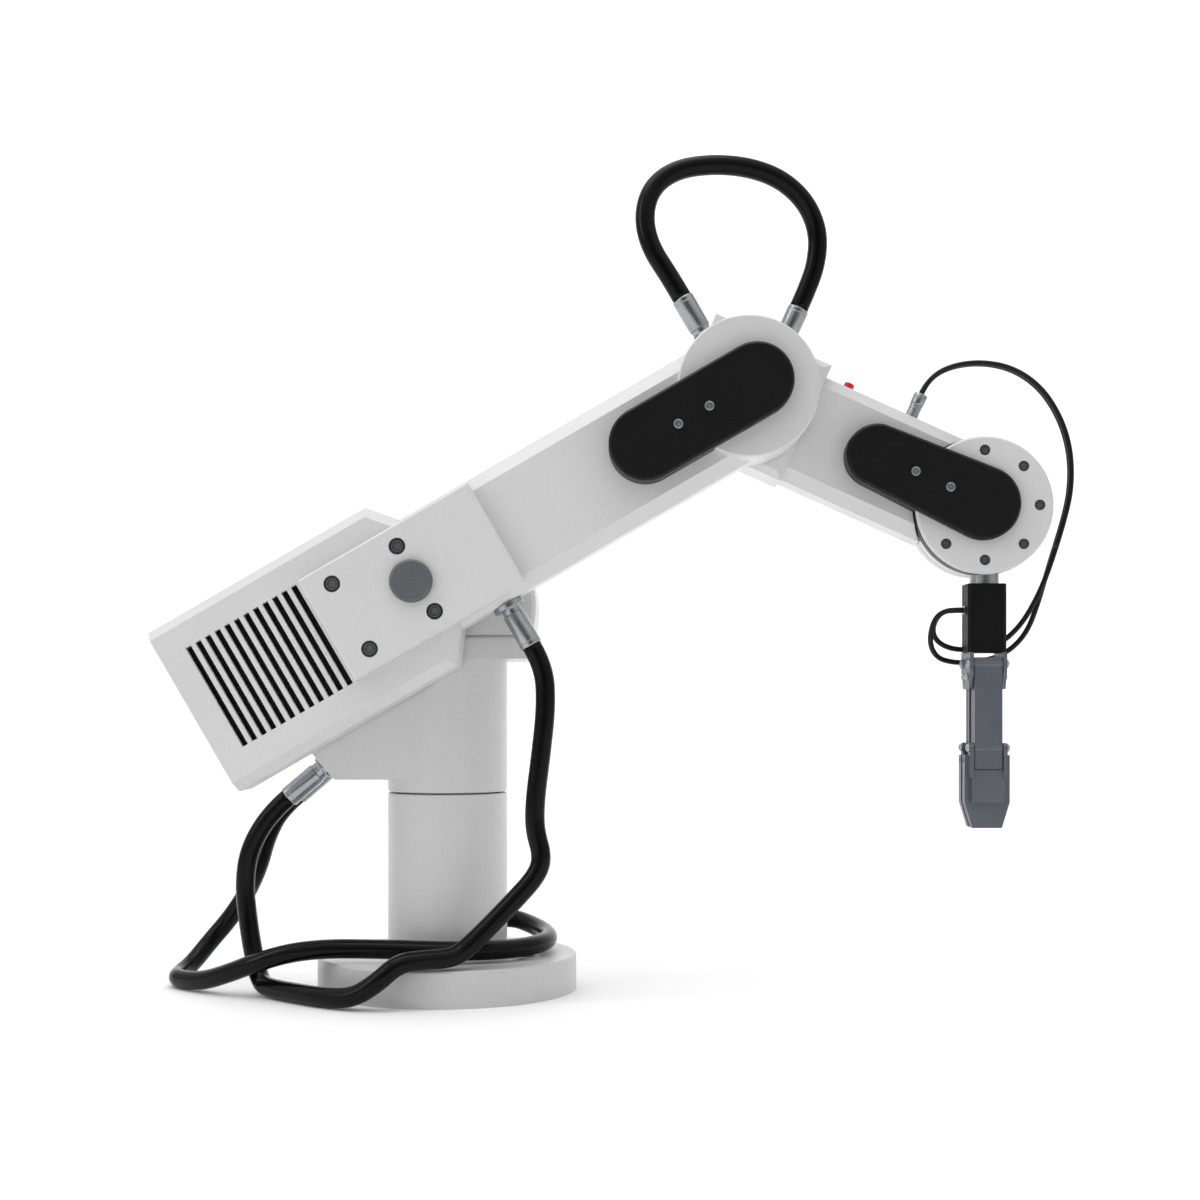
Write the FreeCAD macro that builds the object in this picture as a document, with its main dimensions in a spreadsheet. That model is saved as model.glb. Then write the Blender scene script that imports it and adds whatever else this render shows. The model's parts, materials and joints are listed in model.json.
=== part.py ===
import FreeCAD, Part
import math
import os
import re
import Sketcher

# Desktop robot arm. Millimetres. +Z up, +Y away from the side that carries the arm.
# The origin is on the waist axis, in the plane that the base stands on.

V = FreeCAD.Vector
doc = FreeCAD.newDocument("robot_arm")
os.makedirs("parts", exist_ok=True)

DIMENSIONS = {
    # base and column
    "base_radius": 100, "base_height": 27.2, "hole_circle": 66, "hole_angle": -22, "hole_bore": 5.5,
    "liner_outer": 10.6, "liner_inner": 8.4, "liner_depth": 6,
    "column_radius": 46.2, "column_bore": 40.2, "seam_height": 151.7, "seam_gap": 1.2,
    "spigot_radius": 36, "spigot_depth": 22, "running_gap": 0.05,
    "outlet_left": -16, "outlet_right": 10, "outlet_back": 80, "outlet_low": 33, "outlet_high": 59,
    # turret
    "turret_top": 254, "turret_face": -43.7, "block_low": 163, "block_corner": -81.6, "block_left": -118,
    "block_rise": 205.7, "bed_left": -100, "bed_right": 69.6, "bed_depth": 45.5, "bed_top": 272,
    "head_radius": 66, "head_x": 4, "head_z": 294, "shoulder_x": -16.4, "shoulder_z": 307.2,
    "motor_radius": 33, "motor_gap": 5.7, "head_recess": 75, "port_climb": 14, "port_front": -22,
    "port_rear": 18,
    # upper arm
    "arm_tilt": 30.1, "arm_length": 279, "beam_half": 45.5, "beam_front": -97, "beam_back": -67,
    "beam_bevel": 10.2, "drum_radius": 51, "plate_front": -107, "plate_long": 140.6, "plate_tall": 82.8,
    "screw_square": 53.7, "screw_shift": -23.1, "cap_radius": 15.35, "cap_rise": 6,
    "box_left": -185.2, "box_right": -3.1, "box_taper": 13.5, "box_top": 65.2, "box_low": -67,
    "box_bevel": 7, "box_back": -46.5, "box_wall": 8, "slot_first": -163.2, "slot_pitch": 7.95,
    "slot_width": 4.4, "slot_half": 41, "wall": 5, "shaft_radius": 20, "elbow_belt_span": 85,
    "cover_radius": 26.5, "cover_shift": 5.5, "cover_span": 91, "cover_front": -119,
    "drum_seat": 2.8, "arm_port_u": 51, "arm_port_y": -77, "drum_port_u": 273,
    # forearm
    "fore_tilt": 24.3, "fore_length": 195, "block_near": -44.4, "block_far": 50.1, "block_half": 49.4,
    "block_low_half": 44.6,
    "block_front": -63, "block_back": -19, "block_bevel": 5, "fore_half": 42, "fore_front": -57,
    "fore_back": -22, "fore_bevel": 9.3, "axle_radius": 15, "pulley_radius": 18,
    "button_u": 68.8, "button_radius": 3.95, "button_rise": 4.8, "socket_u": 121, "socket_radius": 5.1,
    "socket_length": 19.5, "mid_y": -40, "wrist_belt_span": 88.1, "wrist_cover_small": 22.9,
    "wrist_cover_large": 27.2, "wrist_cover_shift": 2, "wrist_cover_front": -74, "wrist_pulley": 16,
    # wrist and hand
    "disc_radius": 51, "groove_front": -62, "groove_back": -55, "groove_radius": 46.5, "seal_radius": 50.8,
    "disc_front": -66.5, "disc_back": -38, "plate_back": -26, "bolt_circle": 40.6,
    "hand_x": 405.2, "hand_y": -52.25, "roll_radius": 10.7, "body_top": 309.2, "body_low": 258.2,
    "body_wide": 28.6, "body_deep": 24, "lug_inner": 10.9, "lug_outer": 13.65, "lug_reach": 15.5,
    "lug_low": 231, "lug_shoulder": 244, "lug_foot": 10, "plug_length": 1.4, "pin_radius": 1.8,
    "outer_pivot": 12.3, "inner_pivot": 6, "outer_top": 249.5,
    "inner_top": 240.1, "link_length": 62.1, "link_half": 10.3, "jaw_low": 128, "jaw_gap": 2.5,
    "jaw_depth": 10.5, "jaw_half": 16.7, "jaw_step": 147, "jaw_top": 182, "jaw_pad": 14.9, "pad_half": 12.3,
    "pad_top": 171, "ear_radius": 3.7, "ear_outer": 13.8,
}

dims = doc.addObject("Spreadsheet::Sheet", "dims")
for row, (alias, value) in enumerate(DIMENSIONS.items(), start=1):
    dims.set("A%d" % row, alias)
    dims.set("B%d" % row, str(value))
    dims.setAlias("B%d" % row, alias)
doc.recompute()

EXPORTS = []
CUTS = []


def bound(text):
    """The same expression with every alias looked up in the sheet."""
    return re.sub(r"(?<![a-z_.])(?!(?:sin|cos|sqrt)\b)[a-z][a-z_0-9]*", r"dims.\g<0>", str(text))


def bind(obj, sizes):
    for path, text in sizes.items():
        obj.setExpression(path, bound(text))


TURNS = {"Z": (V(0, 0, 1), 0), "Y": (V(1, 0, 0), -90), "X": (V(0, 1, 0), 90)}


def box(name, x, y, z):
    """A block between pairs of expressions."""
    made = doc.addObject("Part::Box", name)
    for axis, side, (low, high) in zip("xyz", ("Length", "Width", "Height"), (x, y, z)):
        bind(made, {side: "(%s) - (%s)" % (high, low), "Placement.Base." + axis: low})
    return made


def rod(name, along, radius, length, start):
    """A cylinder along X, Y or Z from its start point."""
    made = doc.addObject("Part::Cylinder", name)
    made.Placement = FreeCAD.Placement(V(), FreeCAD.Rotation(*TURNS[along]))
    bind(made, {"Radius": radius, "Height": length})
    bind(made, {"Placement.Base." + axis: text for axis, text in zip("xyz", start)})
    return made


def fuse(name, pieces):
    made = doc.addObject("Part::MultiFuse", name)
    made.Shapes = pieces
    made.Refine = True
    return made


def group(name, pieces):
    made = doc.addObject("Part::Compound", name)
    made.Links = pieces
    return made


def cut(name, base, tool):
    made = doc.addObject("Part::Cut", name)
    made.Base = base
    made.Tool = tool
    made.Refine = True
    return made


FRAMES = {
    "arm": ("shoulder_x", "shoulder_z", "-arm_tilt"),
    "forearm": ("shoulder_x + arm_length * cos(arm_tilt)", "shoulder_z + arm_length * sin(arm_tilt)",
                "fore_tilt"),
    "wrist": ("shoulder_x + arm_length * cos(arm_tilt) + fore_length * cos(fore_tilt)",
              "shoulder_z + arm_length * sin(arm_tilt) - fore_length * sin(fore_tilt)", "0"),
    "hand": ("hand_x", "0", "0"),
}


def place(made, frame):
    """Moves a finished piece from the frame of its link to where it is at rest."""
    x, z, angle = FRAMES[frame]
    made.Placement = FreeCAD.Placement(V(), FreeCAD.Rotation(V(0, 1, 0), 10))
    bind(made, {"Placement.Rotation.Angle": angle, "Placement.Base.x": x, "Placement.Base.z": z})
    if frame == "hand":
        bind(made, {"Placement.Base.y": "hand_y"})


def node(made, name, frame=None):
    """Names a sub-part and, if it belongs to a link, puts it in that link's frame."""
    made.Label = name
    if frame:
        place(made, frame)
    EXPORTS.append((made, name))
    return made


def new_body(name):
    return doc.addObject("PartDesign::Body", name)


def sketch(body, plane, offset):
    made = body.newObject("Sketcher::SketchObject", body.Name + "_sketch")
    for feature in body.Origin.OriginFeatures:
        if feature.Role == plane + "_Plane":
            made.AttachmentSupport = [(feature, "")]
    made.MapMode = "FlatFace"
    bind(made, {"AttachmentOffset.Base.z": offset})
    return made


def hold(made, kind, where, value, text):
    """One dimension of a sketch, bound to the sheet."""
    index = made.addConstraint(Sketcher.Constraint(kind, *where, value))
    made.setExpression("Constraints[%d]" % index, bound(text))


def polygon(made, points):
    """A closed outline whose corners are all placed by expressions."""
    count = len(points)
    start = [V(9 * math.cos(2 * math.pi * i / count), 9 * math.sin(2 * math.pi * i / count), 0)
             for i in range(count)]
    for i in range(count):
        made.addGeometry(Part.LineSegment(start[i], start[(i + 1) % count]), False)
    for i in range(count):
        made.addConstraint(Sketcher.Constraint("Coincident", i, 2, (i + 1) % count, 1))
    for i, (x, y) in enumerate(points):
        hold(made, "DistanceX", (i, 1), start[i].x, x)
        hold(made, "DistanceY", (i, 1), start[i].y, y)


def circle(made, x, y, radius):
    index = made.addGeometry(Part.Circle(V(1, 1, 0), V(0, 0, 1), 5), False)
    hold(made, "DistanceX", (index, 3), 1.0, x)
    hold(made, "DistanceY", (index, 3), 1.0, y)
    hold(made, "Radius", (index,), 5.0, radius)


def oblong(made, near, far, near_radius, far_radius):
    """Two round ends joined by straight tangents; each size is a pair of number and expression."""
    (x1, near_text), (x2, far_text), (r1, r1_text), (r2, r2_text) = near, far, near_radius, far_radius
    lean = math.asin((r2 - r1) / (x2 - x1)) + math.pi / 2
    up = V(math.cos(lean), math.sin(lean), 0)
    down = V(up.x, -up.y, 0)
    left, right = V(x1, 0, 0), V(x2, 0, 0)
    axis = V(0, 0, 1)
    made.addGeometry(Part.ArcOfCircle(Part.Circle(left, axis, r1), lean, 2 * math.pi - lean), False)
    made.addGeometry(Part.LineSegment(left + down * r1, right + down * r2), False)
    made.addGeometry(Part.ArcOfCircle(Part.Circle(right, axis, r2), -lean, lean), False)
    made.addGeometry(Part.LineSegment(right + up * r2, left + up * r1), False)
    for first, end, second, begin in ((0, 2, 1, 1), (1, 2, 2, 1), (2, 2, 3, 1), (3, 2, 0, 1)):
        made.addConstraint(Sketcher.Constraint("Tangent", first, end, second, begin))
    hold(made, "DistanceX", (0, 3), x1, near_text)
    hold(made, "DistanceY", (0, 3), 0.0, "0")
    hold(made, "DistanceX", (2, 3), x2, far_text)
    hold(made, "DistanceY", (2, 3), 0.0, "0")
    hold(made, "Radius", (0,), r1, r1_text)
    hold(made, "Radius", (2,), r2, r2_text)


def pad(body, drawn, length):
    made = body.newObject("PartDesign::Pad", body.Name + "_pad")
    made.Profile = drawn
    bind(made, {"Length": length})
    drawn.Visibility = False
    return made


def pocket(body, drawn, depth, reverse=False):
    made = body.newObject("PartDesign::Pocket", body.Name + "_pocket")
    made.Profile = drawn
    made.Reversed = reverse
    bind(made, {"Length": depth})
    CUTS.append(made)
    return made


def face_at(shape, test):
    """The names of the faces whose centre passes the test."""
    return ["Face%d" % (i + 1) for i, face in enumerate(shape.Faces) if test(face.CenterOfMass)]


def edges_at(shape, test):
    return ["Edge%d" % (i + 1) for i, edge in enumerate(shape.Edges) if test(edge.CenterOfMass)]


def chamfer(body, base, names, size):
    made = body.newObject("PartDesign::Chamfer", body.Name + "_chamfer")
    made.Base = (base, names)
    bind(made, {"Size": size})
    return made


def number(alias):
    """A dimension as a pair of its value and its name."""
    return (DIMENSIONS[alias], alias)


# Pieces

def base():
    body = new_body("base_plate")
    drawn = sketch(body, "XY", "0")
    circle(drawn, "0", "0", "base_radius")
    disc = pad(body, drawn, "base_height")
    doc.recompute()
    top = face_at(disc.Shape, lambda c: c.z > DIMENSIONS["base_height"] - 0.1)
    rim = chamfer(body, disc, top, "1.2")
    doc.recompute()
    bore = sketch(body, "XY", "base_height")
    circle(bore, "hole_circle * cos(hole_angle)", "hole_circle * sin(hole_angle)", "hole_bore")
    through = pocket(body, bore, "base_height + 1")
    seat = sketch(body, "XY", "base_height")
    circle(seat, "hole_circle * cos(hole_angle)", "hole_circle * sin(hole_angle)", "liner_outer")
    counterbore = pocket(body, seat, "liner_depth - 0.6")
    ring = body.newObject("PartDesign::PolarPattern", "base_plate_holes")
    ring.Originals = [through, counterbore]
    for feature in body.Origin.OriginFeatures:
        if feature.Role == "Z_Axis":
            ring.Axis = (feature, [""])
    ring.Angle = 360
    ring.Occurrences = 4
    body.Tip = ring
    node(body, "base_plate")

    liners = []
    for quarter in range(4):
        angle = "hole_angle + %d" % (90 * quarter)
        spot = ("hole_circle * cos(%s)" % angle, "hole_circle * sin(%s)" % angle)
        low = "base_height - liner_depth + 0.6"
        outer = rod("liner_outer_%d" % quarter, "Z", "liner_outer", "liner_depth", spot + (low,))
        inner = rod("liner_inner_%d" % quarter, "Z", "liner_inner", "liner_depth", spot + (low,))
        liners.append(cut("liner_%d" % quarter, outer, inner))
    node(group("liners", liners), "base_hole_liners")

    tube = new_body("column_tube")
    drawn = sketch(tube, "XY", "base_height")
    circle(drawn, "0", "0", "column_radius")
    wall = pad(tube, drawn, "seam_height - base_height")
    doc.recompute()
    top = face_at(wall.Shape, lambda c: c.z > DIMENSIONS["seam_height"] - 0.1)
    chamfer(tube, wall, top, "0.8")
    inside = sketch(tube, "XY", "seam_height")
    circle(inside, "0", "0", "column_bore")
    pocket(tube, inside, "seam_height - base_height - 8")
    node(tube, "column_tube")

    motor = rod("waist_can", "Z", "32", "70", ("0", "0", "base_height + 8"))
    nose = rod("waist_nose", "Z", "14", "12", ("0", "0", "base_height + 78"))
    node(fuse("waist_motor", [motor, nose]), "waist_motor")
    outer = rod("race_outer", "Z", "column_bore", "20", ("0", "0", "seam_height - 22"))
    inner = rod("race_inner", "Z", "spigot_radius + running_gap", "20", ("0", "0", "seam_height - 22"))
    node(cut("waist_bearing", outer, inner), "waist_bearing")

    block = box("outlet_block", ("outlet_left", "outlet_right"), ("30", "outlet_back"),
                ("outlet_low", "outlet_high"))
    clear = rod("outlet_clear", "Z", "column_radius", "80", ("0", "0", "outlet_low - 10"))
    seat = cut("outlet_seat", block, clear)
    sleeve = rod("outlet_sleeve", "X", "9", "22", ("outlet_right", "outlet_back - 14", "outlet_low + 13"))
    node(fuse("column_outlet", [seat, sleeve]), "column_hose_outlet")


def turret():
    body = new_body("turret_column")
    drawn = sketch(body, "XY", "seam_height + seam_gap")
    circle(drawn, "0", "0", "column_radius")
    wall = pad(body, drawn, "turret_top - seam_height - seam_gap")
    doc.recompute()
    low = face_at(wall.Shape, lambda c: c.z < DIMENSIONS["seam_height"] + DIMENSIONS["seam_gap"] + 0.1)
    chamfer(body, wall, low, "0.8")
    doc.recompute()
    side = sketch(body, "XZ", "turret_face")
    polygon(side, [("0", "block_low"), ("block_corner", "block_low"), ("block_left", "block_rise"),
                   ("block_left", "turret_top"), ("0", "turret_top")])
    pad(body, side, "-2 * turret_face")
    spigot = sketch(body, "XY", "seam_height + seam_gap + 10")
    circle(spigot, "0", "0", "spigot_radius")
    peg = pad(body, spigot, "spigot_depth + 10")
    peg.Reversed = True
    inside = sketch(body, "XY", "turret_top")
    circle(inside, "0", "0", "30")
    pocket(body, inside, "turret_top - block_low - 4")
    node(body, "turret_column")

    bed = new_body("bed_plate")
    drawn = sketch(bed, "XY", "turret_top")
    polygon(drawn, [("bed_left", "-bed_depth"), ("bed_right", "-bed_depth"),
                    ("bed_right", "bed_depth"), ("bed_left", "bed_depth")])
    slab = pad(bed, drawn, "bed_top - turret_top")
    doc.recompute()
    chamfer(bed, slab, face_at(slab.Shape, lambda c: c.z > DIMENSIONS["bed_top"] - 0.1), "4")
    node(bed, "bed_plate")

    head = new_body("head_housing")
    drawn = sketch(head, "XZ", "turret_face")
    circle(drawn, "head_x", "head_z", "head_radius")
    drum = pad(head, drawn, "-2 * turret_face")
    doc.recompute()
    chamfer(head, drum, face_at(drum.Shape, lambda c: abs(c.y) > 43), "3")
    flat = sketch(head, "XY", "bed_top")
    polygon(flat, [("-200", "-100"), ("200", "-100"), ("200", "100"), ("-200", "100")])
    pocket(head, flat, "120")
    recess = sketch(head, "XZ", "-turret_face")
    circle(recess, "shoulder_x", "shoulder_z", "motor_radius")
    pocket(head, recess, "head_recess")
    node(head, "head_housing")

    can = rod("shoulder_can", "Y", "motor_radius", "head_recess - motor_gap",
              ("shoulder_x", "turret_face + motor_gap", "shoulder_z"))
    bore = rod("shoulder_bore", "Y", "shaft_radius + running_gap", "90",
               ("shoulder_x", "turret_face", "shoulder_z"))
    node(cut("shoulder_motor", can, bore), "shoulder_motor")

    fittings = [fitting("turret_fitting_%d" % i, "38") for i in range(2)]
    for piece, y in zip(fittings, ("port_front", "port_rear")):
        lean = math.degrees(math.atan2(DIMENSIONS["block_rise"] - DIMENSIONS["block_low"],
                                       DIMENSIONS["block_corner"] - DIMENSIONS["block_left"]))
        along = "port_climb / sqrt((block_rise - block_low)^2 + (block_corner - block_left)^2)"
        piece.Placement = FreeCAD.Placement(V(), FreeCAD.Rotation(V(0, 1, 0), 180 + lean))
        bind(piece, {"Placement.Base.x": "block_corner - (block_corner - block_left) * " + along,
                     "Placement.Base.y": y,
                     "Placement.Base.z": "block_low + (block_rise - block_low) * " + along})
    node(group("turret_fittings", fittings), "turret_hose_fittings")


def fitting(name, length):
    """A hose fitting that stands on its flange along +Z: flange, neck, sleeve and end collar."""
    flange = rod(name + "_flange", "Z", "10.4", "4.6", ("0", "0", "0"))
    neck = rod(name + "_neck", "Z", "6.6", "%s - 4" % length, ("0", "0", "2"))
    sleeve = rod(name + "_sleeve", "Z", "7.7", "%s * 0.62" % length, ("0", "0", "%s * 0.38" % length))
    collar = rod(name + "_collar", "Z", "8.7", "%s * 0.36" % length, ("0", "0", "%s * 0.6" % length))
    return fuse(name, [flange, neck, sleeve, collar])


def upper_arm():
    beam = new_body("upper_arm_beam")
    drawn = sketch(beam, "XZ", "-beam_back")
    polygon(drawn, [("box_taper", "-beam_half"), ("arm_length", "-beam_half"),
                    ("arm_length", "beam_half"), ("box_taper", "beam_half")])
    slab = pad(beam, drawn, "beam_back - beam_front")
    doc.recompute()
    half = DIMENSIONS["beam_half"]
    long_edges = edges_at(slab.Shape,
                          lambda c: abs(abs(c.z) - half) < 0.1 and c.y < DIMENSIONS["beam_front"] + 0.1)
    chamfer(beam, slab, long_edges, "beam_bevel")
    doc.recompute()
    end = sketch(beam, "XZ", "-beam_back")
    circle(end, "arm_length", "0", "drum_radius")
    pad(beam, end, "beam_back - beam_front")
    hollow = sketch(beam, "XZ", "-beam_front - wall")
    polygon(hollow, [("30", "-36"), ("215", "-36"), ("225", "-26"), ("225", "26"), ("215", "36"),
                     ("30", "36")])
    pocket(beam, hollow, "beam_back - beam_front")
    bore = sketch(beam, "XZ", "-beam_front")
    circle(bore, "arm_length", "0", "axle_radius + running_gap")
    pocket(beam, bore, "beam_back - beam_front")
    spindle = sketch(beam, "XZ", "-beam_front")
    circle(spindle, "arm_length - elbow_belt_span", "0", "4 + running_gap")
    pocket(beam, spindle, "wall")
    node(beam, "upper_arm_beam", "arm")

    lid = new_body("upper_arm_back_cover")
    drawn = sketch(lid, "XZ", "-beam_back - 3")
    polygon(drawn, [("box_taper", "-beam_half"), ("arm_length - 30", "-beam_half"),
                    ("arm_length - 30", "beam_half"), ("box_taper", "beam_half")])
    pad(lid, drawn, "3")
    end = sketch(lid, "XZ", "-beam_back - 3")
    circle(end, "arm_length", "0", "drum_radius")
    pad(lid, end, "3")
    bore = sketch(lid, "XZ", "-beam_back")
    circle(bore, "arm_length", "0", "axle_radius + 0.4")
    pocket(lid, bore, "3")
    node(lid, "upper_arm_back_cover", "arm")

    casing = new_body("motor_box")
    drawn = sketch(casing, "XZ", "-box_back")
    polygon(drawn, [("box_left", "box_low"), ("box_right", "box_low"), ("box_taper", "-beam_half"),
                    ("box_taper", "beam_half"), ("box_right", "box_top"), ("box_left", "box_top")])
    block = pad(casing, drawn, "box_back - beam_front")
    doc.recompute()
    front = DIMENSIONS["beam_front"] + 0.1
    bevelled = edges_at(block.Shape,
                        lambda c: c.y < front and DIMENSIONS["box_left"] + 1 < c.x < DIMENSIONS["box_taper"] - 1)
    chamfer(casing, block, bevelled, "box_bevel")
    hollow = sketch(casing, "XZ", "-beam_front - wall")
    polygon(hollow, [("box_left + box_wall", "box_low + box_wall"),
                     ("box_right - box_wall", "box_low + box_wall"),
                     ("box_right - box_wall", "box_top - box_wall"),
                     ("box_left + box_wall", "box_top - box_wall")])
    pocket(casing, hollow, "box_back - beam_front")
    grille = sketch(casing, "XZ", "-beam_front")
    polygon(grille, [("slot_first - slot_width / 2", "-slot_half"),
                     ("slot_first + slot_width / 2", "-slot_half"),
                     ("slot_first + slot_width / 2", "slot_half"),
                     ("slot_first - slot_width / 2", "slot_half")])
    slot = pocket(casing, grille, "wall")
    slots = casing.newObject("PartDesign::LinearPattern", "motor_box_slots")
    slots.Originals = [slot]
    slots.Direction = (grille, ["H_Axis"])
    bind(slots, {"Length": "slot_pitch * 11"})
    slots.Occurrences = 12
    casing.Tip = slots
    node(casing, "motor_box", "arm")

    lid = box("box_lid", ("box_left + box_wall", "box_right - box_wall"), ("box_back - 4", "box_back"),
              ("box_low + box_wall", "box_top - box_wall"))
    node(group("motor_box_lid", [lid]), "motor_box_back_cover", "arm")
    core = box("drive_core", ("-168", "-30"), ("-72", "box_back - 4"), ("-45", "45"))
    fins = [box("drive_fin_%d" % i, ("%d" % (-160 + 11 * i), "%d" % (-155 + 11 * i)), ("-86", "-71"),
                ("-38", "38"))
            for i in range(8)]
    node(fuse("drive_unit", [core] + fins), "drive_unit", "arm")

    flange = rod("shaft_flange", "Y", "motor_radius - 3", "6", ("0", "box_back", "0"))
    axle = rod("shaft_axle", "Y", "shaft_radius", "46", ("0", "box_back", "0"))
    node(fuse("shoulder_shaft", [flange, axle]), "shoulder_shaft", "arm")

    plate = new_body("shoulder_plate")
    drawn = sketch(plate, "XZ", "-beam_front")
    polygon(drawn, [("-plate_long / 2", "-plate_tall / 2"), ("plate_long / 2", "-plate_tall / 2"),
                    ("plate_long / 2", "plate_tall / 2"), ("-plate_long / 2", "plate_tall / 2")])
    slab = pad(plate, drawn, "beam_front - plate_front")
    doc.recompute()
    chamfer(plate, slab, face_at(slab.Shape, lambda c: c.y < DIMENSIONS["plate_front"] + 0.1), "1.5")
    corners = [("screw_shift + %d * screw_square / 2" % i, "%d * screw_square / 2" % j)
               for i in (-1, 1) for j in (-1, 1)]
    for radius, depth in (("6", "4"), ("3", "10")):
        seats = sketch(plate, "XZ", "-plate_front")
        for x, z in corners:
            circle(seats, x, z, radius)
        pocket(plate, seats, depth)
    node(plate, "shoulder_plate", "arm")
    screws = [screw("plate_screw_%d" % i, x, "plate_front", z, "5.7", "4", "3", "6")
              for i, (x, z) in enumerate(corners)]
    node(group("plate_screws", screws), "shoulder_plate_screws", "arm")
    node(dome("pivot_cap", "cap_radius", "cap_rise", "plate_front"), "shoulder_pivot_cap", "arm")

    disc = new_body("elbow_disc")
    drawn = sketch(disc, "XZ", "-beam_front")
    circle(drawn, "arm_length", "0", "drum_radius")
    slab = pad(disc, drawn, "beam_front - plate_front")
    doc.recompute()
    chamfer(disc, slab, face_at(slab.Shape, lambda c: c.y < DIMENSIONS["plate_front"] + 0.1), "1.2")
    bore = sketch(disc, "XZ", "-plate_front")
    circle(bore, "arm_length", "0", "axle_radius + running_gap")
    pocket(disc, bore, "12")
    node(disc, "elbow_disc", "arm")

    reach = number("arm_length")
    near = (DIMENSIONS["arm_length"] - DIMENSIONS["elbow_belt_span"], "arm_length - elbow_belt_span")
    outer_reach = (DIMENSIONS["arm_length"] + DIMENSIONS["cover_shift"], "arm_length + cover_shift")
    outer_near = (outer_reach[0] - DIMENSIONS["cover_span"], "arm_length + cover_shift - cover_span")
    cover_screws = [("arm_length - %s" % u, "0") for u in ("33.8", "59.2")]
    cover = belt_cover("elbow_belt_cover", outer_near, outer_reach, number("cover_radius"),
                       number("cover_radius"),
                       ("beam_front", "cover_front", "plate_front"), ("arm_length", "drum_radius"),
                       ((23.5, "23.5"), (23.5, "23.5")), "3", "1.6", cover_screws)
    node(cover, "elbow_belt_cover", "arm")
    screws = [screw("cover_screw_%d" % i, x, "cover_front - 1.6", z, "3.4", "1.6", "1.5", "4.6")
              for i, (x, z) in enumerate(cover_screws)]
    node(group("arm_cover_screws", screws), "upper_arm_cover_screws", "arm")
    can = rod("elbow_motor_can", "Y", "30", "20", ("arm_length - elbow_belt_span", "beam_front + wall", "0"))
    bore = rod("elbow_motor_bore", "Y", "4 + running_gap", "12",
               ("arm_length - elbow_belt_span", "beam_front + wall", "0"))
    node(cut("elbow_motor", can, bore), "elbow_motor", "arm")
    node(pulley("elbow_pulley", "arm_length - elbow_belt_span", "-115", "6", "pulley_radius", "4", "30"),
         "elbow_drive_pulley", "arm")
    belt = belt_loop("elbow_belt", near, reach, (20, "20"), (18.3, "18.3"), "109", "6")
    node(belt, "elbow_belt", "arm")

    under = fitting("under_fitting", "35.6")
    under.Placement = FreeCAD.Placement(V(), FreeCAD.Rotation(V(1, 0, 0), 180))
    bind(under, {"Placement.Base.x": "arm_port_u", "Placement.Base.y": "arm_port_y",
                 "Placement.Base.z": "-beam_half"})
    top = fitting("drum_fitting", "34")
    bind(top, {"Placement.Base.x": "drum_port_u", "Placement.Base.y": "arm_port_y - 5",
               "Placement.Base.z": "drum_radius - drum_seat"})
    drum = rod("drum_seat_cut", "Y", "drum_radius", "60", ("arm_length", "-110", "0"))
    node(group("arm_fittings", [under, cut("drum_fitting_seated", top, drum)]), "upper_arm_hose_fittings",
         "arm")


def screw(name, x, face, z, head, head_depth, shank, shank_depth):
    """A socket screw that goes in along +Y from its face."""
    top = rod(name + "_top", "Y", head, head_depth, (x, face, z))
    stem = rod(name + "_stem", "Y", shank, "%s + %s" % (head_depth, shank_depth), (x, face, z))
    socket = doc.addObject("Part::Prism", name + "_socket")
    socket.Polygon = 6
    socket.Placement = FreeCAD.Placement(V(), FreeCAD.Rotation(*TURNS["Y"]))
    bind(socket, {"Circumradius": "%s * 0.55" % head, "Height": "%s * 0.6" % head_depth,
                  "Placement.Base.x": x, "Placement.Base.y": face, "Placement.Base.z": z})
    return cut(name, fuse(name + "_blank", [top, stem]), socket)


def dome(name, radius, rise, face):
    """A round cap with a bevelled rim, standing towards -Y on its face."""
    low = rod(name + "_low", "Y", radius, "%s - 1.6" % rise, ("0", "%s - %s + 1.6" % (face, rise), "0"))
    rim = doc.addObject("Part::Cone", name + "_rim")
    rim.Placement = FreeCAD.Placement(V(), FreeCAD.Rotation(*TURNS["Y"]))
    bind(rim, {"Radius1": "%s - 1.6" % radius, "Radius2": radius, "Height": "1.6",
               "Placement.Base.y": "%s - %s" % (face, rise)})
    return fuse(name, [low, rim])


def pulley(name, x, start, width, radius, stem, stem_length):
    """A flat belt pulley on its spindle, both along Y."""
    wheel = rod(name + "_wheel", "Y", radius, width, (x, start, "0"))
    axle = rod(name + "_axle", "Y", stem, stem_length, (x, start, "0"))
    return fuse(name, [wheel, axle])


def belt_loop(name, near, far, outside, inside, start, width):
    body = new_body(name)
    drawn = sketch(body, "XZ", start)
    oblong(drawn, near, far, outside, outside)
    pad(body, drawn, width)
    hole = sketch(body, "XZ", "%s + %s" % (start, width))
    oblong(hole, near, far, inside, inside)
    pocket(body, hole, width)
    return body


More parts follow.
